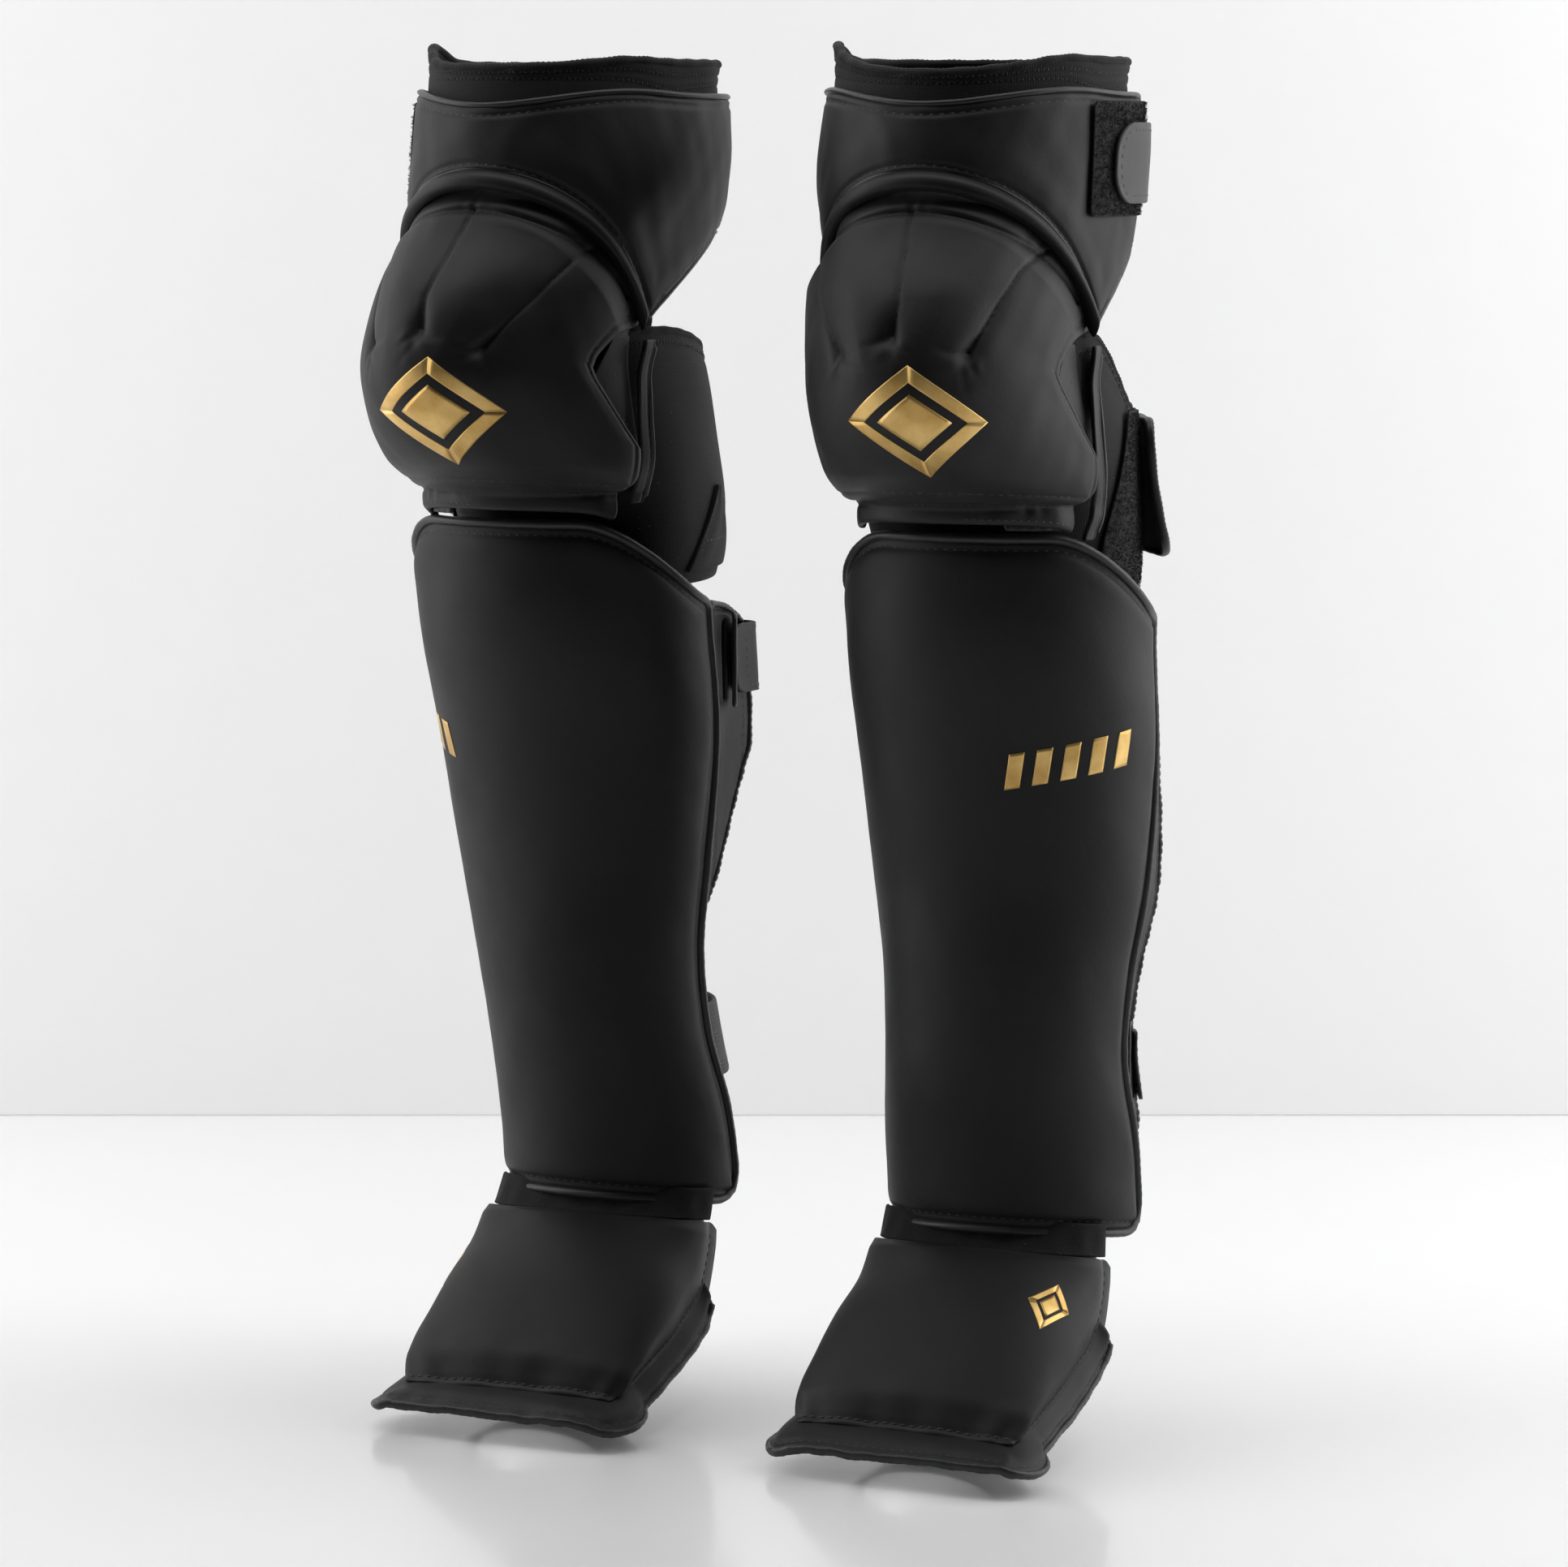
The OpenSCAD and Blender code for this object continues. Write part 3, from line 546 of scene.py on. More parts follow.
def pile(name, dark, light):
    """Looped pile: curled clumps, with painted shade in the hollows between them."""
    m, t, b = nodes_of(name)
    v = uv_of(t)
    clumps = add(t, "ShaderNodeTexVoronoi", {"Vector": v, "Scale": 620.0, "Randomness": 1.0})
    curls = noise(t, v, 900.0, 6.0, 0.75, 2.5)
    # painted shade: the tone falls from 1.0 at the clump centres to 0.3 in the hollows between clumps
    tone = math_node(t, "MULTIPLY", spread(t, curls.outputs[0], 0.0, 1.3, 0.35, 0.7),
                     spread(t, clumps.outputs["Distance"], 1.0, 0.3, 0.1, 0.7))
    paint(t, b, tone, dark, light, spread(t, curls.outputs[0], 0.75, 0.95))
    h = math_node(t, "SUBTRACT", curls.outputs[0], clumps.outputs["Distance"])
    emboss(t, b, h, 0.9, 0.0011)
    fixed(b, Sheen_Weight=0.06, Specular_Ior_Level=0.25)
    return m


def woven(name, dark, light, pitch=0.0014, rough=0.7):
    """Woven band: over and under yarns in both directions."""
    m, t, b = nodes_of(name)
    v = uv_of(t)
    warp = weave(t, v, 1 / pitch / 3.1, "X", 0.4)
    weft = weave(t, v, 1 / pitch / 4.6, "Y", 0.4)
    checks = add(t, "ShaderNodeTexChecker", {"Vector": v, "Scale": 1 / pitch})
    yarn = add(t, "ShaderNodeMix", {0: checks.outputs["Fac"], 2: warp, 3: weft})
    cloud = noise(t, v, 140.0, 4.0)
    tone = math_node(t, "MULTIPLY", yarn.outputs[0], spread(t, cloud.outputs[0], 0.4, 1.2, 0.3, 0.7))
    paint(t, b, tone, dark, light, spread(t, cloud.outputs[0], rough - 0.08, rough + 0.12))
    emboss(t, b, yarn.outputs[0], 0.6, 0.0004)
    fixed(b, Sheen_Weight=0.05)
    return m


def thread(name, dark, light):
    """Twisted polyester thread."""
    m, t, b = nodes_of(name)
    twist = weave(t, uv_of(t), 700.0, "DIAGONAL", 1.5)
    paint(t, b, twist, dark, light, spread(t, twist, 0.5, 0.65))
    emboss(t, b, twist, 0.5, 0.0002)
    fixed(b, Sheen_Weight=0.05)
    return m


def foil(name):
    """Gold transfer foil: brushed satin with slow changes of tone and a slightly uneven surface."""
    m, t, b = nodes_of(name)
    v = uv_of(t)
    cloud = noise(t, v, 60.0, 3.0)
    fine = noise(t, v, 1500.0, 3.0)
    tone = math_node(t, "ADD", spread(t, cloud.outputs[0], 0.0, 0.9, 0.3, 0.7),
                     spread(t, fine.outputs[0], -0.08, 0.08, 0.3, 0.7))
    paint(t, b, tone, (0.42, 0.24, 0.055), (0.78, 0.54, 0.2), spread(t, cloud.outputs[0], 0.34, 0.46))
    emboss(t, b, fine.outputs[0], 0.15, 0.0002)
    fixed(b, Metallic=0.7)
    return m


LEATHER = leather("black_grained_leather", (0.0035, 0.0035, 0.0038), (0.0095, 0.0095, 0.0102))
LEATHER_SOFT = leather("black_soft_leather", (0.0035, 0.0035, 0.0037), (0.0085, 0.0085, 0.009),
                       rough=(0.48, 0.6), bump=0.10)
BINDING = leather("black_satin_binding", (0.010, 0.010, 0.011), (0.026, 0.026, 0.028),
                  rough=(0.38, 0.5), grain=1500, bump=0.08, coat=0.08)
GREY = leather("grey_coated_tab", (0.030, 0.030, 0.031), (0.047, 0.047, 0.049), rough=(0.5, 0.6),
               grain=1600, bump=0.06)
KNIT = knit("black_knit_neoprene", (0.003, 0.003, 0.0033), (0.0095, 0.0095, 0.0102))
LINING = knit("charcoal_lining", (0.010, 0.010, 0.011), (0.026, 0.026, 0.028), pitch=0.0016, lint=0.1)
PILE = pile("black_loop_pile", (0.003, 0.003, 0.003), (0.03, 0.03, 0.031))
WEB = woven("black_elastic_webbing", (0.006, 0.006, 0.0065), (0.028, 0.028, 0.03))
THREAD = thread("black_thread", (0.002, 0.002, 0.002), (0.012, 0.012, 0.013))
GOLD = foil("gold_foil")


def finish_piece(obj, material, body, *replaced):
    obj.data.materials.append(material)
    if body:
        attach(obj, body)
    if replaced:
        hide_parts(*replaced)
    return obj


def sewn(key, name, side, body):
    """Builds the stitches gathered under a key as one piece."""
    return finish_piece(stitches_done(key, name, side), THREAD, body)


def row(key, slab, s, t, lift=0.0, **kw):
    """A row of stitches along a line over a slab's face."""
    s, t = np.broadcast_arrays(np.asarray(s, float), np.asarray(t, float))
    stitch(key, slab.surface(s, t, lift), slab.normal(s, t), **kw)


def zigzag(key, path, up, pitch=2.6, amp=1.6, radius=0.3):
    """Overlock threads: slanted stitches side by side along a path."""
    c, x = even(path, 1.0)
    n = int(c[-1] // pitch)
    xs = (np.arange(n) + 0.5) * pitch
    p, u = along(path, c, xs), along(up, c, xs)
    d, u, w = frames(p, u)
    for k in range(n):
        sign = 1 if k % 2 else -1
        a = p[k] - w[k] * amp - d[k] * pitch * 0.45 * sign
        b = p[k] + w[k] * amp + d[k] * pitch * 0.45 * sign
        q = np.linspace(0, 1, 4)[:, None]
        stitch(key, a + (b - a) * q, np.repeat(u[k][None], 4, 0), length=2 * amp * 0.9, gap=0.2,
               radius=radius)


def outline(slab, off):
    """Points and normals once round a slab's rim."""
    a, b = slab.S.shape
    i = np.concatenate([np.arange(a - 1), np.full(b - 1, a - 1), np.arange(a - 1, 0, -1),
                        np.zeros(b - 1, int)])
    j = np.concatenate([np.zeros(a - 1, int), np.arange(b - 1), np.full(a - 1, b - 1),
                        np.arange(b - 1, 0, -1)])
    s, t = slab.S[i, j], slab.T[i, j]
    return slab.point(s, t, off), slab.normal(s, t)


def edge_mm(s, t, w, h):
    return np.minimum(np.minimum(s, 1 - s) * w, np.minimum(t, 1 - t) * h)


def band(table, a, b, z, h, lift, thick, ns, nt, corner, wave=0.0, seed=1):
    """A strap lying round a section table between two angles."""
    length = 0.5 * abs(b - a) / 57.3 * 125  # on a leg about 125 mm across
    def point(s, t, off):
        return wall(table, mix(a, b, s), z + h * (t - 0.5), off)
    def layer(s, t, more=0.0):
        base = lift(mix(a, b, s)) + more
        return base + wave * ripple(np.stack([s * length, t * h, 0 * s], -1), 26, seed) if wave else base
    return Slab(point, lambda s, t: layer(s, t, thick), layer, ns, nt, (length, h), corner)


def fuzz(name, side, slab, count, seed, long=1.5, high=1.3, radius=0.13):
    """Curled loops of pile standing on a slab's face."""
    g = np.random.default_rng(seed)
    s, t = g.uniform(0.012, 0.988, count), g.uniform(0.012, 0.988, count)
    p, n = slab.surface(s, t, -0.15), slab.normal(s, t)
    side_way = g.normal(size=(count, 3))
    side_way -= n * np.sum(side_way * n, 1, keepdims=True)
    side_way /= np.linalg.norm(side_way, axis=1, keepdims=True)
    cross = np.cross(n, side_way)
    span = g.uniform(0.5, 1.0, count)[:, None] * long
    tall = g.uniform(0.5, 1.0, count)[:, None] * high
    q = np.array([0.0, 0.25, 0.55, 0.85, 1.0])
    rise = np.array([0.0, 0.8, 1.0, 0.6, 0.0])
    centre = (p[:, None] + side_way[:, None] * (q[None, :, None] - 0.5) * span[:, None]
              + n[:, None] * rise[None, :, None] * tall[:, None]
              + cross[:, None] * (np.sin(q * 3.1) * 0.3)[None, :, None] * span[:, None])
    corners = np.array([0, 2.094, 4.189])
    ring = (centre[:, :, None] + radius * (np.cos(corners)[None, None, :, None] * cross[:, None, None]
                                           + np.sin(corners)[None, None, :, None] * n[:, None, None]))
    verts = ring.reshape(-1, 3)
    one = []
    for i in range(4):
        for j in range(3):
            j2 = (j + 1) % 3
            one.append((i * 3 + j, i * 3 + j2, (i + 1) * 3 + j2, (i + 1) * 3 + j))
    one = np.array(one)
    faces = (one[None] + (np.arange(count) * 15)[:, None, None]).reshape(-1, 4)
    uv = np.stack([verts[:, 0] + verts[:, 1], verts[:, 2]], 1) * MM
    return new_mesh(name, verts, faces, side, uv)


def inlay(name, side, quads, to_surface, lift=0.22, thick=0.15, grid=10):
    """Flat foil shapes laid on a curved face. Each quad is four corners in mm round the mark's centre."""
    verts, faces, uvs = [], [], []
    for quad in quads:
        a, b, c, d = (np.asarray(q, float) for q in quad)
        s, t = np.meshgrid(np.linspace(0, 1, grid + 1), np.linspace(0, 1, grid + 1), indexing="ij")
        s, t = s[..., None], t[..., None]
        flat = (a * (1 - s) + b * s) * (1 - t) + (d * (1 - s) + c * s) * t
        x, y = flat[..., 0].ravel(), flat[..., 1].ravel()
        base = sum(len(v) for v in verts)
        k = (grid + 1) ** 2
        verts += [to_surface(x, y, lift), to_surface(x, y, lift - thick)]
        uvs += [np.stack([x, y], 1) * MM] * 2
        ids = np.arange(k).reshape(grid + 1, grid + 1)
        top = np.stack([ids[:-1, :-1], ids[1:, :-1], ids[1:, 1:], ids[:-1, 1:]], -1).reshape(-1, 4)
        faces += (top + base).tolist() + (top[:, ::-1] + base + k).tolist()
        ring = list(ids[:, 0]) + list(ids[-1, 1:]) + list(ids[-2::-1, -1]) + list(ids[0, -2:0:-1])
        for m in range(len(ring)):
            p, q = int(ring[m]), int(ring[(m + 1) % len(ring)])
            faces.append([base + p, base + p + k, base + q + k, base + q])
    return new_mesh(name, np.concatenate(verts), faces, side, np.concatenate(uvs))


def lozenge(width, tall, frame_w, gap):
    """A diamond-shaped frame of four bars with a small solid diamond inside."""
    def corners(k):
        return [np.array([0, tall / 2 * k]), np.array([width / 2 * k, 0]),
                np.array([0, -tall / 2 * k]), np.array([-width / 2 * k, 0])]
    outer, inner, core = corners(1), corners(1 - frame_w), corners(1 - frame_w - gap)
    quads = [(outer[i], outer[(i + 1) % 4], inner[(i + 1) % 4], inner[i]) for i in range(4)]
    return quads + [tuple(core)]


# ---------------------------------------------------------------- shin guard sizes
SHIN_HIGH = top_of("shin_cover")
SHIN_W, SHIN_H = 205, 325
SIDE_DROP = 40.0
PAD_T, PAD_EDGE_T = 20.0, 7.0
SEAM_ROOM = 4.4
SHIN_ARC = 1.13  # mm round the shin for each degree
# the foil marks do not sit in the same place on both legs
BARS_AT = {1: 40.0, -1: 68.0}
LOZENGE_AT = {1: 0.775, -1: 0.89}
WING_IN, WING_T = 2.0, 3.2
UPPER_STRAP_Z, LOWER_STRAP_Z = 352.0, 168.0
STRAP_H, STRAP_T = 36.0, 2.0
SLOT_W, SLOT_H = 5.0, 40.0
UNDER_WING = -WING_IN - WING_T - 1 - STRAP_T


def pad_reach(t):
    return 87 + 8 * np.maximum(0, 1 - t / 0.3) ** 2 + 18 * ease(t, 0.5, 0.93)


def shin_low(a):
    return 97 - 5 * (a / 70) ** 2


def shin_high(a):
    return SHIN_HIGH - SIDE_DROP * ease(np.abs(a), 36, 108)


def shin_point(s, t, off):
    a = (2 * s - 1) * pad_reach(t)
    return wall(SHIN, a, mix(shin_low(a), shin_high(a), t), off)


def shin_out(s, t):
    e = edge_mm(s, t, SHIN_W, SHIN_H)
    p = np.stack([s * SHIN_W, t * SHIN_H, 0 * s + 7], -1)
    return (-1.8 * (1 - ease(e, 0, 15)) - 0.8 * hump(e - 5.2, 1.5) + 0.3 * hump(e - 9, 4)
            + 0.35 * ripple(p, 70, 11) * ease(e, 5, 30) + 0.12 * ripple(p, 22, 12))


def shin_in(s, t):
    thick = PAD_EDGE_T + (PAD_T - PAD_EDGE_T) * (1 - np.abs(2 * s - 1) ** 4) * (1 - np.abs(2 * t - 1) ** 10)
    return 1.4 - thick


def reach_at(z):
    return pad_reach((z - 92) / 290)


def inner_wing_point(s, t, off):
    z = mix(236 + 72 * (1 - s) ** 1.3, 380 - 10 * (1 - s) ** 3, t)
    flare = 18 * mix(0.5, 1, ease(z, 250, 340))
    return wall(SHIN, -(reach_at(z) + SEAM_ROOM - 2 * s + (1 - s) * 23), z, off + flare * (1 - s) ** 2)


def outer_wing_point(s, t, off):
    z = mix(130 + 12 * s * s, 372 - 10 * s**3, t)
    tuck = 4 * s * (1 - ease(z, 170, 270))
    return wall(SHIN, reach_at(z) + SEAM_ROOM - 2 * (1 - s) + s * 17, z, off + 5 * s * s - tuck)


def upper_off(a):
    f = (a - 110) / 130
    return UNDER_WING + 3.5 * f + 12 * np.sin(np.pi * f)


def lower_off(a):
    f = (a - 99) / 169
    return UNDER_WING - 4 * (1 - f) + 1 - f + 7 * np.sin(np.pi * f)


def over_wing(s, flare):
    return 1.2 - WING_IN + flare * s * s


def upper_tab_off(a):
    near = 2.6 + over_wing(np.clip((360 - a - reach_at(352.0) - SEAM_ROOM) / 23, 0, 1), 18)
    far = mix(upper_off(a) + 3.2, 2.6 + over_wing(1, 18), ease(a, 212, 227))
    return np.where(a > 227, near, far)


def lower_tab_off(a):
    return mix(over_wing(1, 1), lower_off(a) + 3.2, ease(a, 111, 124))


# ---------------------------------------------------------------- instep sizes
FOOT_TURN = math.radians(-5)
INSTEP_W, INSTEP_H = 165.0, 112.0
INSTEP = np.array([
    [0, -62, 26, 58, -56, 18],
    [0.25, -40, 49, 61, -22, 25],
    [0.5, -15, 70, 62, 18, 34],
    [0.75, 6, 84, 61, 50, 47],
    [1, 23, 91, 60, 66, 80],
], float)


def foot_in_leg(x, y, z):
    c, n = math.cos(FOOT_TURN), math.sin(FOOT_TURN)
    return np.stack([c * x - n * (y - 70), n * x + c * (y - 70) + 70, z], -1)


def instep_point(s, t, depth):
    """A layer of the instep pad: depth is how deep it lies under the outer face."""
    s, t, depth = np.broadcast_arrays(*(np.asarray(v, float) for v in (s, t, depth)))
    shape = s.shape
    k = sections(INSTEP, t.ravel())
    a = np.radians(90 * (2 * s.ravel() - 1))
    f = np.maximum(0.0001, np.cos(a)) ** 0.5
    p = foot_in_leg(k[:, 3] * np.sin(a), mix(k[:, 4], k[:, 1], f), mix(k[:, 5], k[:, 2], f))
    n = np.stack([np.sin(a) * 0.9, -0.45 * np.cos(a), 0.9 * np.cos(a) + 0.1], 1)
    n /= np.linalg.norm(n, axis=1, keepdims=True)
    return (p - depth.ravel()[:, None] * n).reshape(*shape, 3)


BORDER_R = 16.0


def border_line():
    """Where the flat border joins the instep pad: up one side, round the toe end and down the other."""
    w, h, inset = INSTEP_W, INSTEP_H, 2.0
    q = np.linspace(0, np.pi / 2, 24)
    x = np.concatenate([np.full(60, inset), inset + BORDER_R * (1 - np.cos(q)),
                        np.linspace(inset + BORDER_R, w / 2, 60)])
    y = np.concatenate([np.linspace(0.8 * h, inset + BORDER_R, 60), inset + BORDER_R * (1 - np.sin(q)),
                        np.full(60, inset)])
    front = np.concatenate([np.zeros(60), np.sin(q), np.ones(60)])
    x = np.concatenate([x, w - x[::-1]])
    y, front = np.concatenate([y, y[::-1]]), np.concatenate([front, front[::-1]])
    c = np.concatenate([[0], np.cumsum(np.hypot(np.diff(x), np.diff(y)))])
    return c / c[-1], x / w, y / h, front


BORDER = border_line()


def flange_point(s, t, depth):
    """Border round the instep: s runs up one side, across the toe end and down the other; t outwards."""
    s, t, depth = np.broadcast_arrays(*(np.asarray(v, float) for v in (s, t, depth)))
    c, bs, bt, bf = BORDER
    st_s, st_t, front = np.interp(s, c, bs), np.interp(s, c, bt), np.interp(s, c, bf)
    way = np.where(s < 0.5, -1, 1)
    d = np.stack([way * mix(0.32, 0.12, front), mix(-0.2, -0.85, front), mix(-0.92, -0.5, front)], -1)
    d /= np.linalg.norm(d, axis=-1, keepdims=True)
    w = mix(-1.0, 21 * mix(0.62, 1, front), t)[..., None]
    corner = np.stack([way * 5 * front * (1 - front) * 4, 0 * s, 0 * s], -1)
    down = np.stack([way * mix(0.9, 0.1, front), mix(0, -0.3, front), mix(0.3, 0.9, front)], -1)
    base = instep_point(st_s, st_t, mix(4.6, 1.0, ease(t, 0.0, 0.7)))
    return base + w * d + t[..., None] * corner - depth[..., None] * down


# ---------------------------------------------------------------- knee guard sizes
DOME_LOW, DOME_HIGH, ARCH_DROP = 439.0, 569.0, 68.0
DOME_TUCK = 8.0
DOME_W, DOME_H = 150, 130
DOME_ARC = 1.75  # mm round the dome for each degree
NOTCH = (0.25, 0.52, 0.9)


def dome_side(t):
    cut = np.minimum((t - NOTCH[0]) / (NOTCH[1] - NOTCH[0]), (NOTCH[2] - t) / (NOTCH[2] - NOTCH[1]))
    cut = np.maximum(0, cut)
    cut = cut - 0.06 * hump(cut - 1, 0.1)
    return 68 - 22 * cut - 6 * np.maximum(0, 1 - t / 0.3) ** 2


def dome_low_at(a):
    return DOME_LOW - 3 * (a / 60) ** 2


def dome_high_at(a):
    return DOME_HIGH - ARCH_DROP * (np.abs(a) / 76) ** 1.9


def dome_point(s, t, off):
    """The dome's top edge rolls back and runs on under the cuff's ridge."""
    a = (2 * s - 1) * dome_side(t)
    z = mix(dome_low_at(a), dome_high_at(a) + DOME_TUCK, t)
    from_ridge = z - (cuff_low_at(a) - 9.5)
    back = ease(from_ridge, -10, 5) * ease(np.abs(a), 12, 40)
    out = wall(DOME, a, z, off - 4.5 * ease(z - dome_high_at(a), -1, DOME_TUCK) * (1 - back))
    under = wall(CUFF, a, z, off - 1.5)
    return out * (1 - back[..., None]) + under * back[..., None]


def dome_st(a, z):
    t = (z - dome_low_at(a)) / (dome_high_at(a) + DOME_TUCK - dome_low_at(a))
    return (a / dome_side(t) + 1) / 2, t


def yoke_at(a):
    """Height of the seam between the dome and the narrow strip under the ridge."""
    return 566 - 57 * (np.abs(a) / 66) ** 2.1


# darts sewn into the dome, from the yoke seam down: angle and height
DARTS = [np.array([[-1, 565], [0, 547], [1, 528], [0, 514]], float),
         np.array([[-40, 549], [-30, 535], [-21, 519], [-15, 506]], float),
         np.array([[40, 549], [32, 540], [25, 527], [17, 507]], float)]


def dart_line(k, n=60):
    d = DARTS[k]
    x = np.linspace(0, len(d) - 1, n)
    i = np.arange(len(d))
    return np.interp(x, i, d[:, 0]), np.interp(x, i, d[:, 1])


def dome_relief(s, t):
    a = (2 * s - 1) * dome_side(t)
    z = mix(dome_low_at(a), dome_high_at(a) + DOME_TUCK, t)
    x = a * DOME_ARC
    out = np.zeros(a.shape)
    seam = np.full(a.shape, 99.0)
    for k in range(3):
        da, dz = dart_line(k)
        near = np.sqrt((x[..., None] - da * DOME_ARC) ** 2 + (z[..., None] - dz) ** 2)
        share = near.argmin(-1) / (len(da) - 1)
        near = near.min(-1)
        seam = np.minimum(seam, near)
        out -= 1.8 * hump(near, 0.9) + (0.4 + 1.1 * ease(share, 0.3, 1)) * hump(near, 4.2)
        way = np.array([(da[-1] - da[-9]) * DOME_ARC, dz[-1] - dz[-9]])
        way /= np.linalg.norm(way)
        ex, ez = x - da[-1] * DOME_ARC, z - dz[-1]
        on, off = ex * way[0] + ez * way[1], -ex * way[1] + ez * way[0]
        out -= 1.5 * np.exp(-((off / 2.4) ** 2) - ((on + 1) / 6.0) ** 2)
        for turn, reach, deep in ((-0.75, 15, 0.75), (0.6, 13, 0.65), (0.05, 20, 0.6)):
            c, n = math.cos(turn), math.sin(turn)
            u, v = on * c + off * n, -on * n + off * c
            crease = np.exp(-((v - 0.03 * u * u * np.sign(turn)) / 1.9) ** 2)
            out -= deep * crease * ease(u, -1, 4) * (1 - ease(u, 5, reach))
            out += deep * 0.6 * np.exp(-((v - 3.4) / 2.2) ** 2) * ease(u, 0, 5) * (1 - ease(u, 6, reach))
    e = np.minimum(np.minimum(s, 1 - s) * DOME_W, t * DOME_H)
    yoke = yoke_at(a) - z
    gathers = 0.35 * np.sin(x / 1.9 + np.sin(x * 0.21) * 2) * hump(yoke + 4, 4) * hump(seam, 14)
    p = np.stack([x, z, 0 * x], -1)
    return (out + gathers + 1.2 * ease(seam, 2, 20) - 1.2 - 1.4 * (1 - ease(e, 0, 14))
            - 1.3 * (1 - ease(yoke, -2, 9)) - 1.7 * hump(yoke, 1.1) * (np.abs(a) < 56)
            + 0.8 * hump(yoke + 4.5, 3.5) * (np.abs(a) < 56) + 0.5 * hump(yoke - 3.5, 2.5)
            * (np.abs(a) < 56)
            - 0.7 * hump(e - 4.6, 1.2) + 0.45 * ripple(p, 45, 21) + 0.25 * ripple(p, 17, 22)
            * ease(e, 4, 14))


def dome_in(s, t):
    thick = 6 + 18 * (1 - np.abs(2 * s - 1) ** 3) * (1 - np.abs(2 * t - 1) ** 4)
    return -thick


def skirt_point(s, t, off):
    a = mix(-57.0, 57.0, s)
    tuck = 3.5 * ease(np.abs(a), 44, 58)
    return wall(DOME, a, mix(429 - 2 * (a / 60) ** 2 - 5 * (a / 57) ** 6, dome_low_at(a) + 2.5, t),
                off - 3.4 - tuck)


def sleeve_top(a):
    c = np.cos(np.radians(a / 2)) ** 2
    lateral = ease(a, 72, 108) * (1 - ease(a, 130, 178))
    return 494 + 10 * c + 11 * np.sin(np.radians(a)) ** 2 - 29 * lateral


def sleeve_point(s, t, off):
    a = round_leg(s)
    return wall(LIMB, a, mix(390.0, sleeve_top(a), t), 2 + off)


def strap_lift(a):
    return 9.0 + 3 * ease(a, 125, 102)


# ---------------------------------------------------------------- thigh cuff sizes
CUFF_TOP = top_of("cuff_cover")
CUFF_T = 8.5
CUFF_FROM, CUFF_TO = -132.0, 104.0
CUFF_ARC = 1.45


def cuff_low_at(a):
    m = np.abs(a)
    side = np.clip((m - 66) / 42, 0, 1) ** 0.85
    return np.where(m < 66, 584 - ARCH_DROP * (np.minimum(m, 66) / 66) ** 1.9,
                    mix(584 - ARCH_DROP, 555, side))


def cuff_top_at(a):
    """The cuff's upper edge dips in front and rises a little beside it."""
    return CUFF_TOP - 4.5 * hump(a, 22) + 2.0 * hump(np.abs(a) - 46, 20)


def cuff_point(s, t, off):
    a = mix(CUFF_FROM, CUFF_TO, s)
    return wall(CUFF, a, mix(cuff_low_at(a), cuff_top_at(a), t), off)


def cuff_out(s, t):
    a = mix(CUFF_FROM, CUFF_TO, s)
    z = mix(cuff_low_at(a), cuff_top_at(a), t)
    x = a * CUFF_ARC
    top = cuff_top_at(a) - z
    low = z - cuff_low_at(a)
    p = np.stack([x, z, 0 * x], -1)
    folds = 0.8 * hump(x + 18 - 0.25 * top, 5) + 0.7 * hump(x - 30 + 0.3 * top, 6) - 0.6 * hump(x - 64, 9)
    return (-0.8 * hump(top - 4.6, 1.2) - 0.9 * hump(low - 3.0, 1.5) * (np.abs(a) < 72)
            + 0.9 * hump(low - 12, 9) + folds * ease(top, 3, 14) * (1 - ease(top, 26, 40)) * 0.8
            + 0.45 * ripple(p, 48, 31) + 0.2 * ripple(p, 18, 32) - 1.0 * (1 - ease(top, 0, 5)))


def ridge_point(s, t, off):
    a = mix(-64.0, 64.0, s)
    top = cuff_low_at(a) + 0.5
    return wall(CUFF, a, mix(top - 9.5, top, t), off)


def ridge_out(s, t):
    p = np.stack([s * 190, t * 12, 0 * s], -1)
    return 4.4 * np.sin(np.pi * (0.14 + 0.8 * t)) ** 0.6 - 0.6 + 0.35 * ripple(p, 30, 41) - 1.4 * t**5


def collar_low(a):
    m = np.minimum(120, np.abs(a))
    return np.maximum(523, cuff_low_at(m) + mix(2, -4, ease(m, 75, 105)))


def collar_peak(side):
    """Angle of the rim's raised fold: both legs have it on the same hand."""
    return -66.0 if side > 0 else 58.0


def collar_high(a, side):
    """The knit collar's rim: level behind, a little lower in front, with a raised fold on one hand."""
    dip = 6.0 if side > 0 else 2.5
    return 632.0 + 7 * hump(a - collar_peak(side), 17) - dip * hump(a, 34) + 1.5 * hump(np.abs(a) - 45, 15)


def collar_point(s, t, off, side):
    a = round_leg(s)
    flare = 1.2 * ease(t, 0.86, 1.0) + 2.5 * hump(a - collar_peak(side), 18) * ease(t, 0.55, 1.0)
    return wall(CUFF, a, mix(collar_low(a), collar_high(a, side), t), off - CUFF_T - 0.7 + flare)


def declare(slab):
    """Works out a slab's mean width and height in metres, and does nothing more with them."""
    p = slab.outer
    w = np.linalg.norm(np.diff(p, axis=0), axis=-1).sum(0).mean() * MM
    h = np.linalg.norm(np.diff(p, axis=1), axis=-1).sum(1).mean() * MM
    w, h = max(w, 0.0101), max(h, 0.0101)


def sheet(slab, name, side, material, body, held, rests_on, *replaced):
    """Builds a slab as a sheet piece, which replaces the CAD nodes named last."""
    obj = finish_piece(slab.build(name, side), material, body, *replaced)
    declare(slab)
    return obj


def cushion(slab, name, side, material, body, fill, *replaced):
    """Builds a slab as a padded piece."""
    finish_piece(slab.build(name, side), material, body, *replaced)


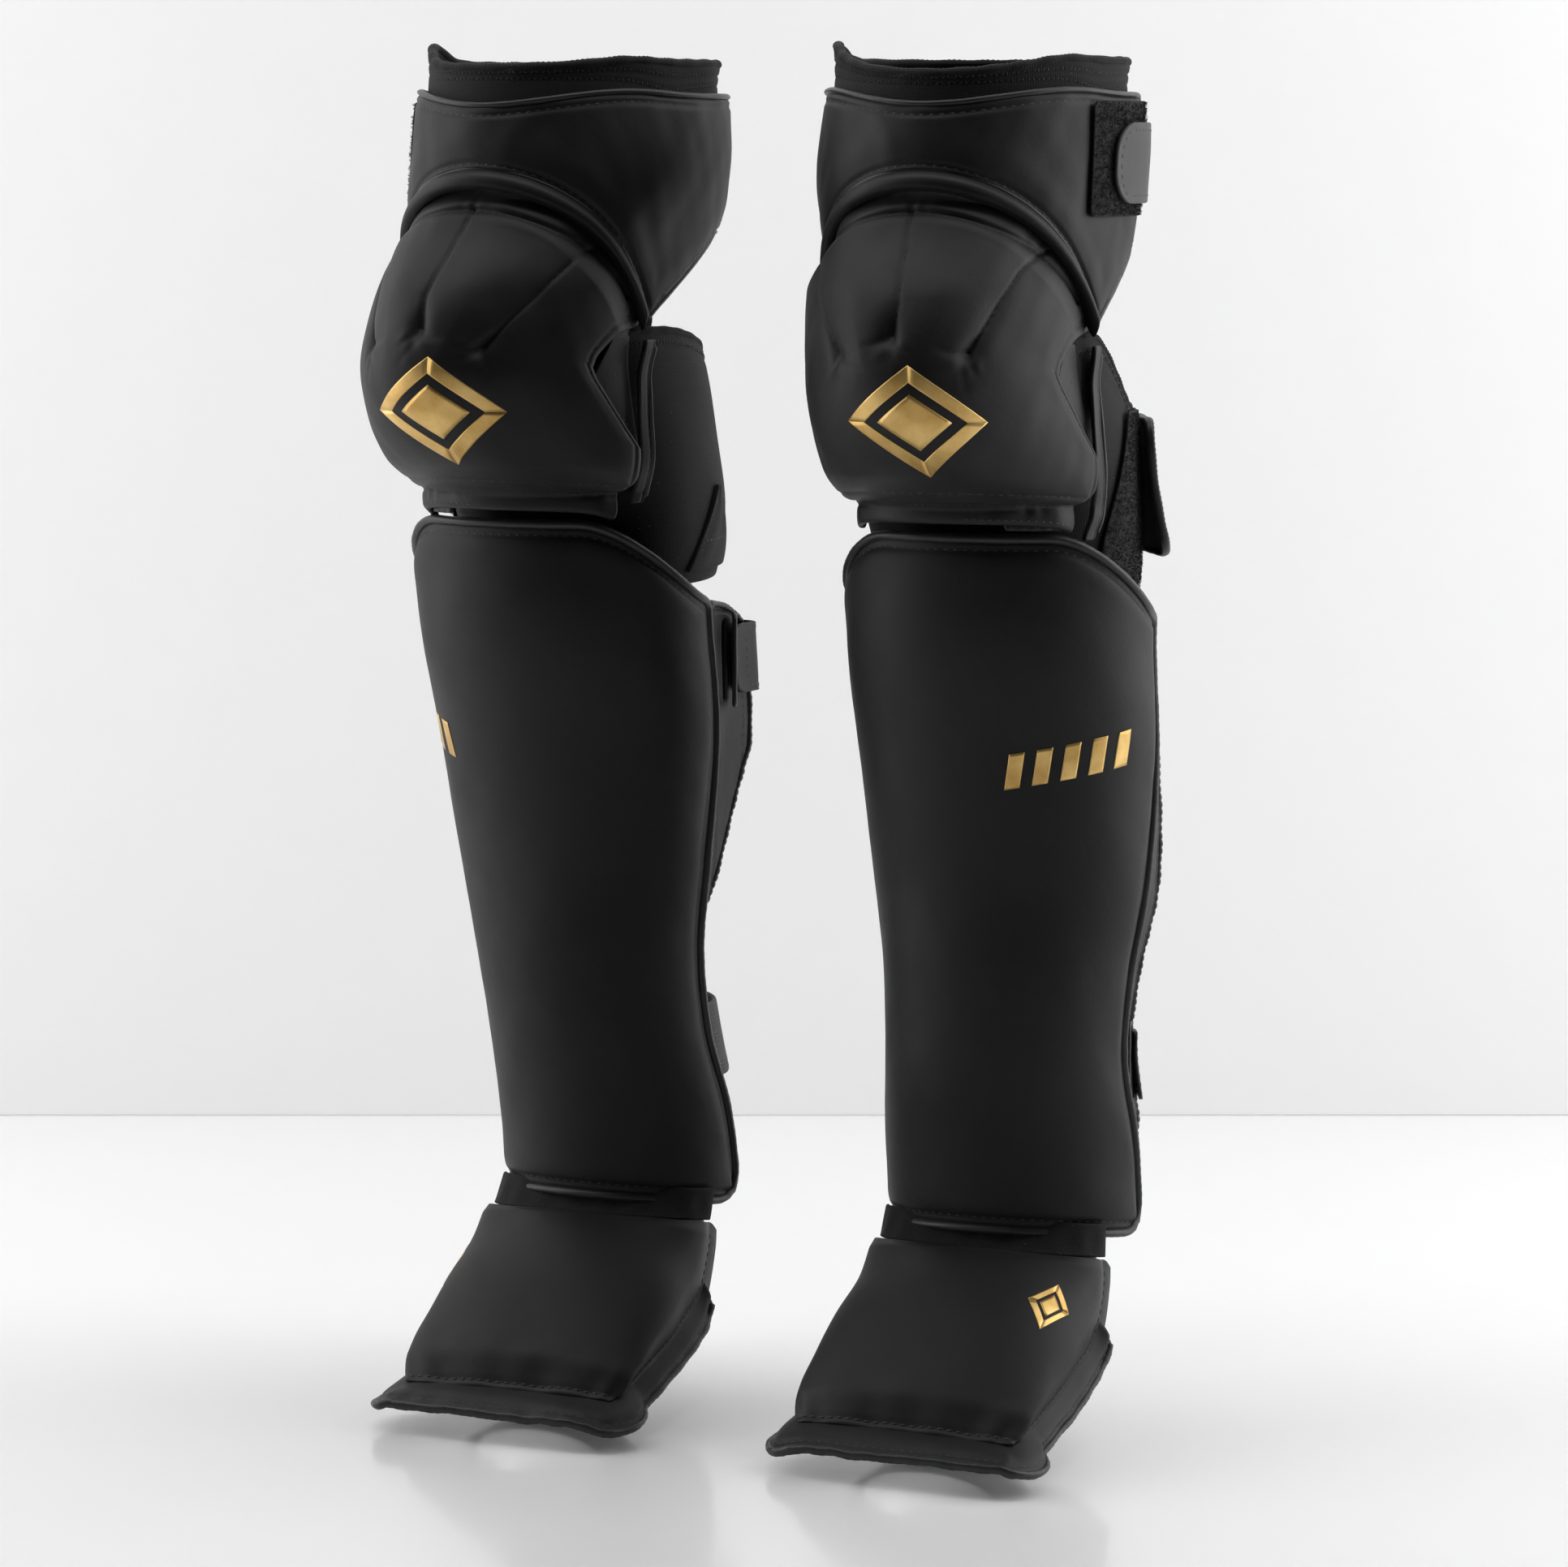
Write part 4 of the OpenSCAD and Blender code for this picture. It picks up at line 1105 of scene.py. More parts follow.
def edge(name, side, material, body, path, up, *size, **gather):
    """Builds a bound edge or piping as one piece."""
    finish_piece(tube(name, side, path, up, *size, **gather), material, body)


def cut_slot(wing, table, angle, z, side):
    """Cuts a strap slot through a wing."""
    at = wall(table, angle, z, 0.0)
    a = math.radians(angle)
    across = np.array([math.cos(a), math.sin(a), 0])
    out = np.array([math.sin(a), -math.cos(a), 0])
    verts, faces = [], []
    n = 16
    for k in range(2):
        for j in range(n):
            q = 2 * math.pi * j / n
            x = SLOT_W / 2 * math.cos(q)
            y = (SLOT_H - SLOT_W) / 2 * (1 if math.sin(q) >= 0 else -1) + SLOT_W / 2 * math.sin(q)
            verts.append(at + across * x + out * (40 * k - 14) + np.array([0, 0, y]))
    faces += [tuple(range(n)), tuple(range(2 * n - 1, n - 1, -1))]
    faces += [(j, (j + 1) % n, n + (j + 1) % n, n + j) for j in range(n)]
    cutter = new_mesh("slot_cutter", np.array(verts), faces, side)
    m = wing.modifiers.new("slot", "BOOLEAN")
    m.operation, m.object, m.solver = "DIFFERENCE", cutter, "EXACT"
    bpy.context.view_layer.update()
    done = bpy.data.meshes.new_from_object(wing.evaluated_get(bpy.context.evaluated_depsgraph_get()))
    wing.modifiers.clear()
    wing.data = done
    bpy.data.objects.remove(cutter)


def slot_trim(name, side, table, angle, z, off):
    """Raised bound rim round a strap slot."""
    q = np.linspace(0, 2 * np.pi, 64, endpoint=False)
    r = SLOT_W / 2 + 1.4
    y = np.where(np.sin(q) >= 0, 1, -1) * (SLOT_H - SLOT_W) / 2 + r * np.sin(q)
    at = wall(table, angle, z, off)
    a = math.radians(angle)
    across = np.array([math.cos(a), math.sin(a), 0])
    out = np.array([math.sin(a), -math.cos(a), 0])
    path = at + across * (r * np.cos(q))[:, None] + np.array([0, 0, 1.0]) * y[:, None]
    return tube(name, side, path, np.repeat(out[None], 64, 0), 1.2, 1.1, True, ribs=0.15, rib_step=2.4,
                step=1.0,
                sides=8)


# ---------------------------------------------------------------- building the two legs

def build_shin(side, L):
    body = L + "shin"
    pad = Slab(shin_point, shin_out, shin_in, 96, 120, (SHIN_W, SHIN_H), corner=(22, 5), roll=5.0)
    cushion(pad, L + "shin_pad", side, LEATHER, body, 0.75, L + "shin_cover", L + "shin_foam")
    lining = Slab(shin_point, lambda s, t: shin_in(s, t) - 0.3, lambda s, t: shin_in(s, t) - 1.4, 40, 50,
                  (SHIN_W, SHIN_H), corner=(22, 5))
    piece = finish_piece(lining.build(L + "shin_inner_lining", side), LINING, body, L + "shin_lining")
    declare(lining)
    path, up = outline(pad, -2.6)
    finish_piece(tube(L + "shin_piping", side, path, up, 2.1, 2.9, True, ribs=0.05, rib_step=4.4, step=2.2),
                 BINDING, body, L + "shin_binding")
    x = np.linspace(0.028, 0.972, 200)
    row("shin", pad, x, 1 - 5.2 / SHIN_H)
    row("shin", pad, x[8:-8], 5.6 / SHIN_H)
    y = np.linspace(0.03, 0.97, 260)
    for k in (5.2 / SHIN_W, 1 - 5.2 / SHIN_W):
        row("shin", pad, k, y)
    sewn("shin", L + "shin_stitches", side, body)

    for name, point, slot_angle, slot_z in (("inner", inner_wing_point, -119.0, UPPER_STRAP_Z),
                                            ("outer", outer_wing_point, 98.0, LOWER_STRAP_Z)):
        w, h = (30, 140) if name == "inner" else (24, 235)
        def out(s, t, w=w, h=h):
            e = edge_mm(s, t, w, h)
            p = np.stack([s * w, t * h, 0 * s], -1)
            return -WING_IN + 0.35 * ripple(p, 40, 51) - 0.5 * hump(e - 4.2, 1.1)
        wing = Slab(point, out, lambda s, t: -WING_IN - WING_T + 0 * s, 36, 110, (w, h), corner=(3, 9))
        obj = wing.build(L + "shin_side_wing_" + name, side)
        cut_slot(obj, SHIN, slot_angle, slot_z, side)
        finish_piece(obj, LEATHER_SOFT, body, L + "shin_wing_" + name)
        declare(wing)
        path, up = outline(wing, -WING_IN - WING_T / 2)
        bound = tube(L + "shin_wing_edge_" + name, side, path, up, 1.7, 2.5, True, ribs=0.22, rib_step=3.6,
                     step=1.2)
        finish_piece(bound, BINDING, body)
        y = np.linspace(0.03, 0.97, 160)
        near, far = (0.86, 0.13) if name == "inner" else (0.15, 0.86)
        row("wing", wing, near, y)
        row("wing", wing, far, y)
        x = np.linspace(0.15, 0.85, 40)
        row("wing", wing, x, 1 - 4.2 / h)
        row("wing", wing, x, 4.2 / h)
        trim = slot_trim(L + "shin_slot_rim_" + name, side, SHIN, slot_angle, slot_z,
                         -WING_IN + (9.4 if name == "inner" else 0.2))
        finish_piece(trim, BINDING, body)
    sewn("wing", L + "shin_wing_stitches", side, body)

    for name, a, b, z, lift in (("upper", 110.0, 240.0, UPPER_STRAP_Z, upper_off),
                                ("lower", 99.0, 268.0, LOWER_STRAP_Z, lower_off)):
        strap = band(SHIN, a, b, z, STRAP_H, lift, STRAP_T, 70, 12, corner=2, wave=0.35, seed=61)
        sheet(strap, L + "calf_band_" + name, side, WEB, body, "stretched", [L + "shin_pad"],
              L + "calf_strap_" + name)
    for name, a, b, z, lift, on in (("upper", 190.0, 240.0, UPPER_STRAP_Z, upper_tab_off, "upper_tab"),
                                    ("lower", 99.0, 150.0, LOWER_STRAP_Z, lower_tab_off, "lower_tab")):
        tab = band(SHIN, a, b, z, STRAP_H - 2, lift, STRAP_T, 60, 24, corner=7, wave=0.2, seed=62)
        sheet(tab, L + "calf_grip_tab_" + name, side, LEATHER_SOFT, L + on, "stretched",
              [L + "shin_side_wing_" + ("inner" if name == "upper" else "outer")], L + "calf_tab_" + name)
        x = np.linspace(0.06, 0.86 if name == "upper" else 0.94, 60)
        for k in (0.1, 0.9):
            row("tab", tab, x, k)
        y = np.linspace(0.14, 0.86, 30)
        for k in (x[0], x[-1]):
            row("tab", tab, k, y)
        sewn("tab", L + "calf_tab_stitches_" + name, side, L + on)

    def to_shin(x, y, lift):
        c, n = math.cos(0.16), math.sin(0.16)
        a, z = BARS_AT[side] + (c * x - n * y) / SHIN_ARC, 320 + n * x + c * y
        return wall(SHIN, a, z, shin_plain(a, z) + lift)
    bars = []
    for k in range(5):
        x0 = -31 + 13.5 * k
        bars.append(((x0, -8), (x0 + 7.5, -8), (x0 + 13.5, 8), (x0 + 6, 8)))
    finish_piece(inlay(L + "shin_foil_bars", side, bars, to_shin), GOLD, body)


def shin_plain(a, z):
    """Relief of the shin pad at an angle and height, for shapes laid on it."""
    t = (z - shin_low(a)) / (shin_high(a) - shin_low(a))
    s = (a / pad_reach(t) + 1) / 2
    return shin_out(s, t)


def build_instep(side, L):
    body = L + "instep"
    w, h = INSTEP_W, INSTEP_H

    def side_edge(s, t):
        return np.minimum(np.minimum(s, 1 - s) * w, t * h)

    def out(s, t):
        e = side_edge(s, t)
        p = np.stack([s * w, t * h, 0 * s], -1)
        return -(4.6 * (1 - ease(e, 0, 15)) + 1.5 * (1 - ease((1 - t) * h, 0, 9)) + 0.6 * hump(e - 2.6, 1.3)
                 - 0.55 * ripple(p, 44, 71) - 0.4 * ripple(p, 19, 72) * (1 - ease(e, 8, 26)))

    def point(s, t, off):
        return instep_point(s, t, -off)

    pad = Slab(point, out, lambda s, t: -(6 + 5 * (1 - np.abs(2 * s - 1) ** 3) * ease(t * h, 0, 20)), 90,
               70, (w, h),
               corner=(14, 3), roll=1.6)
    cushion(pad, L + "instep_pad", side, LEATHER, body, 0.7, L + "instep_cover", L + "instep_foam")
    y = np.linspace(0.1, 0.97, 90)
    for k in (2.6 / w, 1 - 2.6 / w):
        row("instep", pad, k, y, lift=0.3)
    x = np.linspace(0.09, 0.91, 120)
    row("instep", pad, x, 2.6 / h, lift=0.3)

    def f_out(s, t):
        p = np.stack([s * 330, t * 20, 0 * s], -1)
        return 0.2 + 1.7 * ripple(p, 58, 73) * ease(t, 0.15, 1) + 0.5 * ripple(p, 16, 74) * ease(t, 0.3, 1)

    def f_point(s, t, off):
        return flange_point(s, 1 - t, 1.6 - off)

    def f_relief(s, t):
        return f_out(s, 1 - t) - 0.5 * hump(t * 20 - 4.2, 1.0)

    flange = Slab(f_point, f_relief, lambda s, t: f_out(s, 1 - t) - 2.6, 190, 26, (330, 20),
                  s_at=np.linspace(0, 1, 191))
    sheet(flange, L + "instep_border", side, LEATHER_SOFT, body, "stretched", [L + "instep_pad"],
          L + "instep_flange")
    s = np.linspace(0, 1, 260)
    path = flange.point(s, 0 * s, f_out(s, 1 + 0 * s) - 1.3)
    up = flange.normal(s, 0 * s + 0.02)
    edge(L + "instep_border_edge", side, BINDING, body, path, up, 1.7, 2.3, False, ribs=0.12, rib_step=4.2,
         step=1.6)
    x = np.linspace(0.01, 0.99, 260)
    row("instep", flange, x, 4.2 / 20)
    sewn("instep", L + "instep_stitches", side, body)

    def flex(s, t, off):
        low = instep_point(mix(0.04 + 0.03 * t, 0.96 - 0.03 * t, s), 1.0 + 0 * s, 3.2 - off)
        return low + np.stack([0 * s, 1 + 10 * t, 0.6 + 13.5 * t**1.4], -1)
    panel = Slab(flex, lambda s, t: 0.3 * np.sin(s * 60) * np.sin(np.pi * t) + 0 * s, lambda s,
                 t: -2.0 + 0 * s,
                 80, 16, (130, 17))
    obj = sheet(panel, L + "ankle_stretch_panel", side, KNIT, None, "stretched",
                [L + "instep_pad", L + "shin_pad"], L + "ankle_flex_panel")
    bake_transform(obj)

    def sole(s, t, off):
        a = np.pi * s
        return foot_in_leg(-(46 + off) * np.cos(a), mix(-26, 2, t) + 0 * s, 28 - (24 + off) * np.sin(a))

    def heel(s, t, off):
        a = np.pi * s
        return foot_in_leg((46 + off) * np.cos(a), 50 + (66 + off) * np.sin(a), mix(48, 76, t) + 0 * s)
    for name, point_, length in (("sole", sole, 115), ("heel", heel, 175)):
        strap = Slab(point_, lambda s, t: 0.15 * np.cos(s * 160) + 0 * t, lambda s,
                     t: -1.6 + 0.15 * np.cos(s * 160) + 0 * t,
                     90, 12, (length, 28))
        sheet(strap, L + name + "_elastic", side, WEB, body, "stretched", [L + "instep_pad"],
              L + name + "_strap")
        y = np.linspace(0.1, 0.9, 16)
        for k in (0.04, 0.07, 0.93, 0.96):
            row("elastic", strap, k, y, length=2.2, gap=1.0)
        sewn("elastic", L + name + "_elastic_stitches", side, body)

    def to_instep(x, y, lift):
        s, t = LOZENGE_AT[side] + x / w, 0.62 + y / h
        return point(s, t, out(s, t) + lift)
    finish_piece(inlay(L + "instep_foil_mark", side, lozenge(22, 31, 0.34, 0.18), to_instep, grid=6), GOLD,
                 body)


def build_knee(side, L):
    body = L + "knee"
    dome = Slab(dome_point, dome_relief, dome_in, 190, 170, (DOME_W, DOME_H), corner=(13, 2), roll=4.0,
                s_at=dense(190, 1.25), t_at=dense(170, 1.25))
    cushion(dome, L + "knee_dome", side, LEATHER, body, 0.85, L + "knee_cover", L + "knee_foam")
    for k in range(3):
        s, t = dome_st(*dart_line(k))
        row("knee", dome, s[6:54], t[6:54], lift=0.35, length=2.3, gap=1.4, radius=0.34)
    a = np.linspace(-43, 43, 110)
    row("knee", dome, *dome_st(a, yoke_at(a) - 0.6), lift=0.15, length=2.4, gap=1.5, radius=0.3)
    x = np.linspace(0.09, 0.91, 120)
    row("knee", dome, x, 4.6 / DOME_H)
    y = np.linspace(0.12, 0.88, 140)
    for k in (4.6 / DOME_W, 1 - 4.6 / DOME_W):
        row("knee", dome, k, y)

    def sk_out(s, t):
        p = np.stack([s * 150, t * 15, 0 * s], -1)
        gather = 0.8 * np.sin(s * 150 / 2.1 + 1.5 * np.sin(s * 31)) * hump(s - 0.74, 0.09) * ease(t, 0.1,
                                                                                                  0.7)
        return 0.4 * ripple(p, 34, 81) + gather - 0.6 * hump(t - 0.72, 0.09) + 0.9 * np.sin(np.pi * t)
    skirt = Slab(skirt_point, sk_out, -3.6, 130, 22, (140, 12), corner=(5, 2))
    cushion(skirt, L + "knee_gathered_band", side, LEATHER_SOFT, body, 0.3, L + "knee_skirt")
    x = np.linspace(0.03, 0.97, 120)
    row("knee", skirt, x, 0.72, length=2.2, gap=1.3)
    row("knee", skirt, x[66:], 0.2, length=2.2, gap=1.3)

    def fold(s, t, off):
        a = mix(24.0, 55.0, s)
        return wall(DOME, a, mix(426.3 - 2 * (a / 60) ** 2, 432 - 2 * (a / 60) ** 2, t),
                    off - 7.2 - 3 * ease(a, 42, 56))
    tuck = Slab(fold, lambda s, t: 0.3 * np.sin(s * 34) * (1 - t) + 0 * s, -2.0, 50, 10, (40, 6),
                corner=2)
    sheet(tuck, L + "knee_band_fold", side, LEATHER_SOFT, body, "gathered", [L + "knee_gathered_band"])

    for name, way in (("outer", 1.0), ("inner", -1.0)):
        def strip(s, t, off, way=way):
            z = mix(420.0 if way > 0 else 431.0, 507.0, t)
            return wall(DOME, way * (67 + 0.14 * (z - 415) + mix(-4.0, 4.0, s)), z,
                        off - (7 if way > 0 else 10) + (3 if way > 0 else 6)
                        * ease(z, 420, 432 if way > 0 else 456)
                        + 2.5 * ease(z, 488, 506))
        part = Slab(strip, lambda s, t: 0.3 * np.sin(t * 9) - 0.4 * hump(s - 0.74, 0.1) + 0 * s,
                    -2.5, 20, 70, (10, 89), corner=2)
        sheet(part, L + "knee_side_strip_" + name, side, LEATHER_SOFT, body, "stretched",
              [L + "knee_dome"], L + "knee_strip_" + name)
        y = np.linspace(0.03, 0.97, 70)
        row("knee", part, 0.74, y)
        path = part.point(0 * y + 1, y, -1.2)
        up = part.normal(0 * y + 0.97, y)
        edge(L + "knee_strip_piping_" + name, side, BINDING, body, path, up, 1.4, 1.8, False, ribs=0.06,
             step=1.6)

        def gusset(s, t, off, way=way):
            z = mix(452.0, 512.0, t)
            a = mix(dome_side((z - 435) / 90) - 3, 72.0, s)
            return wall(DOME, way * a, z, off - 9)
        tri = Slab(gusset, lambda s, t: 0.9 * np.sin(np.pi * s) * np.sin(np.pi * t), -2.2, 24, 60,
                   (20, 60), corner=3)
        sheet(tri, L + "knee_notch_gusset_" + name, side, LEATHER_SOFT, body, "stretched",
              [L + "knee_dome"])
        y = np.linspace(0.16, 0.5, 24)
        row("knee", tri, mix(0.8, 0.24, (y - 0.16) / 0.34), y, length=2.4)
        row("knee", tri, mix(0.8, 0.24, (y - 0.16) / 0.34), 1 - y, length=2.4)
    sewn("knee", L + "knee_stitches", side, body)

    def sl_out(s, t):
        a = round_leg(s)
        p = np.stack([60 * np.sin(np.radians(a)), 60 * np.cos(np.radians(a)), t * 110], -1)
        return 3.0 + 0.5 * ripple(p, 40, 91) * ease(t, 0.02, 0.2) - 0.6 * hump((1 - t) * 110 - 6.5, 1.2)
    sleeve = Slab(sleeve_point, sl_out, 0.0, 132, 44, (360, 110), ring=True)
    sheet(sleeve, L + "calf_knit_sleeve", side, KNIT, body, "stretched", [L + "knee_dome"],
          L + "calf_sleeve")
    s = np.linspace(0, 1, 240)[:-1]
    path, up = sleeve.point(s, 0 * s + 1, 1.4), sleeve.normal(s, 0 * s + 0.97)
    edge(L + "calf_sleeve_rim", side, KNIT, body, path, up, 1.9, 2.1, True, ribs=0.16, rib_step=2.4,
         step=1.2)
    zigzag("sleeve", *(lambda q: (sleeve.surface(q, 0 * q + 0.955, 0.1),
                                  sleeve.normal(q, 0 * q + 0.955)))(s))

    def tri_tab(s, t, off):
        a = -112 + mix(-26.0, 26.0, s) * mix(1.0, 0.08, t) - 6 * t
        return wall(LIMB, a, mix(396.0, 436.0, t) + 0 * s, 2 + off)
    flap = Slab(tri_tab, lambda s, t: 5.2 + 0.3 * np.sin(s * 9 + t * 5), 3.3, 40, 34, (46, 42))
    q = np.linspace(0.1, 0.86, 40)
    for k in (0.09, 0.5, 0.91):
        row("sleeve", flap, k, q, length=2.2, gap=1.4)
    q = np.linspace(0.1, 0.9, 40)
    row("sleeve", flap, q, 0.35, length=2.2, gap=1.4)
    sewn("sleeve", L + "sleeve_stitches", side, body)
    sheet(flap, L + "sleeve_corner_patch", side, KNIT, body, "stretched", [L + "calf_knit_sleeve"])

    def liner(s, t, off):
        a = mix(-74.0, 74.0, s)
        low = wall(LIMB, a, sleeve_top(a) - 6, 2 + off)
        high = wall(CUFF, a, cuff_low_at(a) + 6, off - 13)
        f = t[..., None] if np.ndim(t) else t
        bow = np.stack([0 * s, 3 * np.sin(np.pi * t), 0 * s], -1)
        return low * (1 - f) + high * f + bow
    lin = Slab(liner, lambda s, t: 1.0 + 0.3 * np.sin(t * 20) + 0 * s, -1.0, 60, 30, (150, 80))
    obj = sheet(lin, L + "knee_front_liner", side, KNIT, None, "stretched", [L + "calf_knit_sleeve"])
    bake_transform(obj)

    def pile_point(s, t, off):
        return wall(LIMB, mix(62 + 32 * np.asarray(t) ** 1.5, 128.0, s), 434 + 84 * (t - 0.5), 5.9 + off)
    patch = Slab(pile_point, lambda s, t: 1.2 + 0 * s, 0.0, 50, 60, (55, 84), 3)
    sheet(patch, L + "calf_pile_patch", side, PILE, body, "stretched", [L + "calf_knit_sleeve"],
          L + "calf_loop_patch")
    finish_piece(fuzz(L + "calf_pile_loops", side, patch, 2600, seed=5), PILE, body)

    def strap_point(s, t, off):
        a = mix(102.0, 190.0, s)
        stands = 7 * (1 - t) ** 2 * ease(a, 138, 104)
        return wall(LIMB, a, 440 + 62 * (t - 0.5), strap_lift(a) + stands + off)
    strap = Slab(strap_point, lambda s, t: 2.6 + 0.4
                 * ripple(np.stack([s * 125, t * 62, 0 * s], -1), 30, 95),
                 0.0, 100, 34, (125, 62), corner=16)
    sheet(strap, L + "knee_wrap_strap", side, KNIT, L + "knee_flap", "stretched", [L + "calf_pile_patch"],
          L + "knee_strap")
    rim_s = np.concatenate([strap.S[:-1, 0], strap.S[-1, :-1], strap.S[:0:-1, -1], strap.S[0, :0:-1]])
    rim_t = np.concatenate([strap.T[:-1, 0], strap.T[-1, :-1], strap.T[:0:-1, -1], strap.T[0, :0:-1]])
    path = strap.point(rim_s, rim_t, strap.outer_off(rim_s, rim_t) - 1.3)
    up = strap.normal(rim_s, rim_t)
    edge(L + "knee_strap_edge", side, BINDING, L + "knee_flap", path, up, 1.3, 2.0, True, ribs=0.16,
         rib_step=2.6, step=1.3)
    x = np.linspace(0.03, 0.97, 160)
    for k in (0.09, 0.91):
        row("strap", strap, x, k)
    y = np.linspace(0.12, 0.88, 40)
    row("strap", strap, 0.03, y)
    sewn("strap", L + "knee_strap_stitches", side, L + "knee_flap")

    def to_dome(x, y, lift):
        a, z = 4 * side + x / DOME_ARC, 477 + y
        s, t = dome_st(a, z)
        return dome_point(s, t, dome_relief(s, t) + lift)
    finish_piece(inlay(L + "knee_foil_mark", side, lozenge(58, 50, 0.3, 0.2), to_dome), GOLD, body)


def build_cuff(side, L):
    body = L + "cuff"
    cuff = Slab(cuff_point, cuff_out, -5.2, 190, 60, (290, 60), corner=(6, 5), roll=3.0,
                s_at=dense(190, 1.3))
    cushion(cuff, L + "thigh_cuff", side, LEATHER, body, 0.6, L + "cuff_cover", L + "cuff_pad")
    path, up = outline(cuff, -2.4)
    edge(L + "thigh_cuff_edge", side, BINDING, body, path, up, 1.5, 2.3, True, ribs=0.05, rib_step=4.0,
         step=1.8)

    def cuff_line(a, z):
        s = (a - CUFF_FROM) / (CUFF_TO - CUFF_FROM)
        return s, (z - cuff_low_at(a)) / (cuff_top_at(a) - cuff_low_at(a))
    a = np.linspace(-128, 101, 300)
    row("cuff", cuff, *cuff_line(a, cuff_top_at(a) - 4.6))
    a = np.linspace(-63, 63, 200)
    row("cuff", cuff, *cuff_line(a, cuff_low_at(a) + 2.4))
    for a in (np.linspace(-129, -69, 90), np.linspace(69, 101, 50)):
        row("cuff", cuff, *cuff_line(a, cuff_low_at(a) + 5.0))

    ridge = Slab(ridge_point, ridge_out, lambda s, t: -5 * (0.6 + 0.4 * np.sin(np.pi * t)), 130, 26,
                 (190, 9.5),
                 roll=3.0)
    cushion(ridge, L + "thigh_cuff_ridge", side, LEATHER, body, 0.9, L + "cuff_ridge")

    def co_out(s, t):
        ang = round_leg(s)
        p = np.stack([70 * np.sin(np.radians(ang)), 70 * np.cos(np.radians(ang)), t * 60], -1)
        high = (1 - t) * 70
        return (3.0 + 0.6 * ripple(p, 42, 101) * ease(t, 0.5, 1) - 0.7 * hump(high - 4.5, 0.9)
                - 0.5 * hump(high - 8.5, 0.9) + 0.8 * hump(ang + 8, 1.6) * ease(t, 0.8, 0.97))
    collar = Slab(lambda s, t, off: collar_point(s, t, off, side), co_out, 0.0, 150, 50, (400, 70),
                  ring=True)
    sheet(collar, L + "thigh_knit_sleeve", side, KNIT, body, "stretched", [L + "thigh_cuff"],
          L + "thigh_sleeve")
    s = np.linspace(0, 1, 280)[:-1]
    path, up = collar.point(s, 0 * s + 1, 1.4), collar.normal(s, 0 * s + 0.97)
    edge(L + "thigh_sleeve_rim", side, KNIT, body, path, up, 2.0, 2.3, True, ribs=0.2, rib_step=2.6,
         step=1.2)
    for level in (0.945, 0.885):
        zigzag("collar", collar.surface(s, 0 * s + level, 0.1), collar.normal(s, 0 * s + level), amp=1.3)
    sewn("cuff", L + "thigh_cuff_stitches", side, body)
    sewn("collar", L + "thigh_sleeve_stitches", side, body)

    patch = band(CUFF, 55.0, 102.0, 589.0, 51.0, lambda a: 0.9 + 0 * a, 1.2, 46, 44, corner=3)
    sheet(patch, L + "thigh_pile_patch", side, PILE, body, "stretched", [L + "thigh_cuff"],
          L + "thigh_loop_patch")
    finish_piece(fuzz(L + "thigh_pile_loops", side, patch, 2200, seed=6), PILE, body)

    strap = band(CUFF, 66.0, 226.0, 587.0, 36.0, lambda a: 2.9 + 0 * a, 2.0, 130, 34, corner=15, wave=0.25,
                 seed=105)
    sheet(strap, L + "thigh_grip_strap", side, GREY, L + "cuff_flap", "stretched",
          [L + "thigh_pile_patch"], L + "thigh_strap")
    x = np.linspace(0.075, 0.98, 200)
    for k in (0.1, 0.9):
        row("thigh", strap, x, k)
    q = np.linspace(-1, 1, 60)
    row("thigh", strap, 0.02 + 0.05 * (1 - np.sqrt(1 - 0.97 * q * q)), 0.5 + 0.4 * q)
    sewn("thigh", L + "thigh_strap_stitches", side, L + "cuff_flap")


for side, L in ((1, "left_"), (-1, "right_")):
    build_shin(side, L)
    build_instep(side, L)
    build_knee(side, L)
    build_cuff(side, L)

# ---------------------------------------------------------------- room, light and camera
CAMERA_AZ = math.radians(23.0)
CAMERA_DOWN = math.radians(7.26)
CAMERA_AT = Vector((0.9125, -2.1113, 0.596))
forward = Vector((-math.sin(CAMERA_AZ), math.cos(CAMERA_AZ), 0))
right = Vector((math.cos(CAMERA_AZ), math.sin(CAMERA_AZ), 0))
WALL_DISTANCE = 3.06


def plain(name, colour, rough, gloss=0.0, grain=30.0):
    m, t, b = nodes_of(name)
    tc = add(t, "ShaderNodeTexCoord")
    n = add(t, "ShaderNodeTexNoise", {"Vector": tc.outputs["Object"], "Scale": grain, "Detail": 4.0})
    t.links.new(two_tone(t, n.outputs[0], tuple(c * 0.985 for c in colour), colour), b.inputs["Base Color"])
    t.links.new(spread(t, n.outputs[0], rough, rough + 0.06), b.inputs["Roughness"])
    fixed(b, Coat_Weight=gloss, Coat_Roughness=0.12)
    return m


def board(name, centre, along_way, up_way, w, h, material):
    me = bpy.data.meshes.new(name)
    n = 8
    verts = [tuple(centre + along_way * (w * (i / n - 0.5)) + up_way * (h * (j / n - 0.5)))
             for i in range(n + 1) for j in range(n + 1)]
    faces = [(i * (n + 1) + j, (i + 1) * (n + 1) + j, (i + 1) * (n + 1) + j + 1, i * (n + 1) + j + 1)
             for i in range(n) for j in range(n)]
    me.from_pydata(verts, [], faces)
    obj = bpy.data.objects.new(name, me)
    bpy.context.scene.collection.objects.link(obj)
    obj.data.materials.append(material)
    return obj


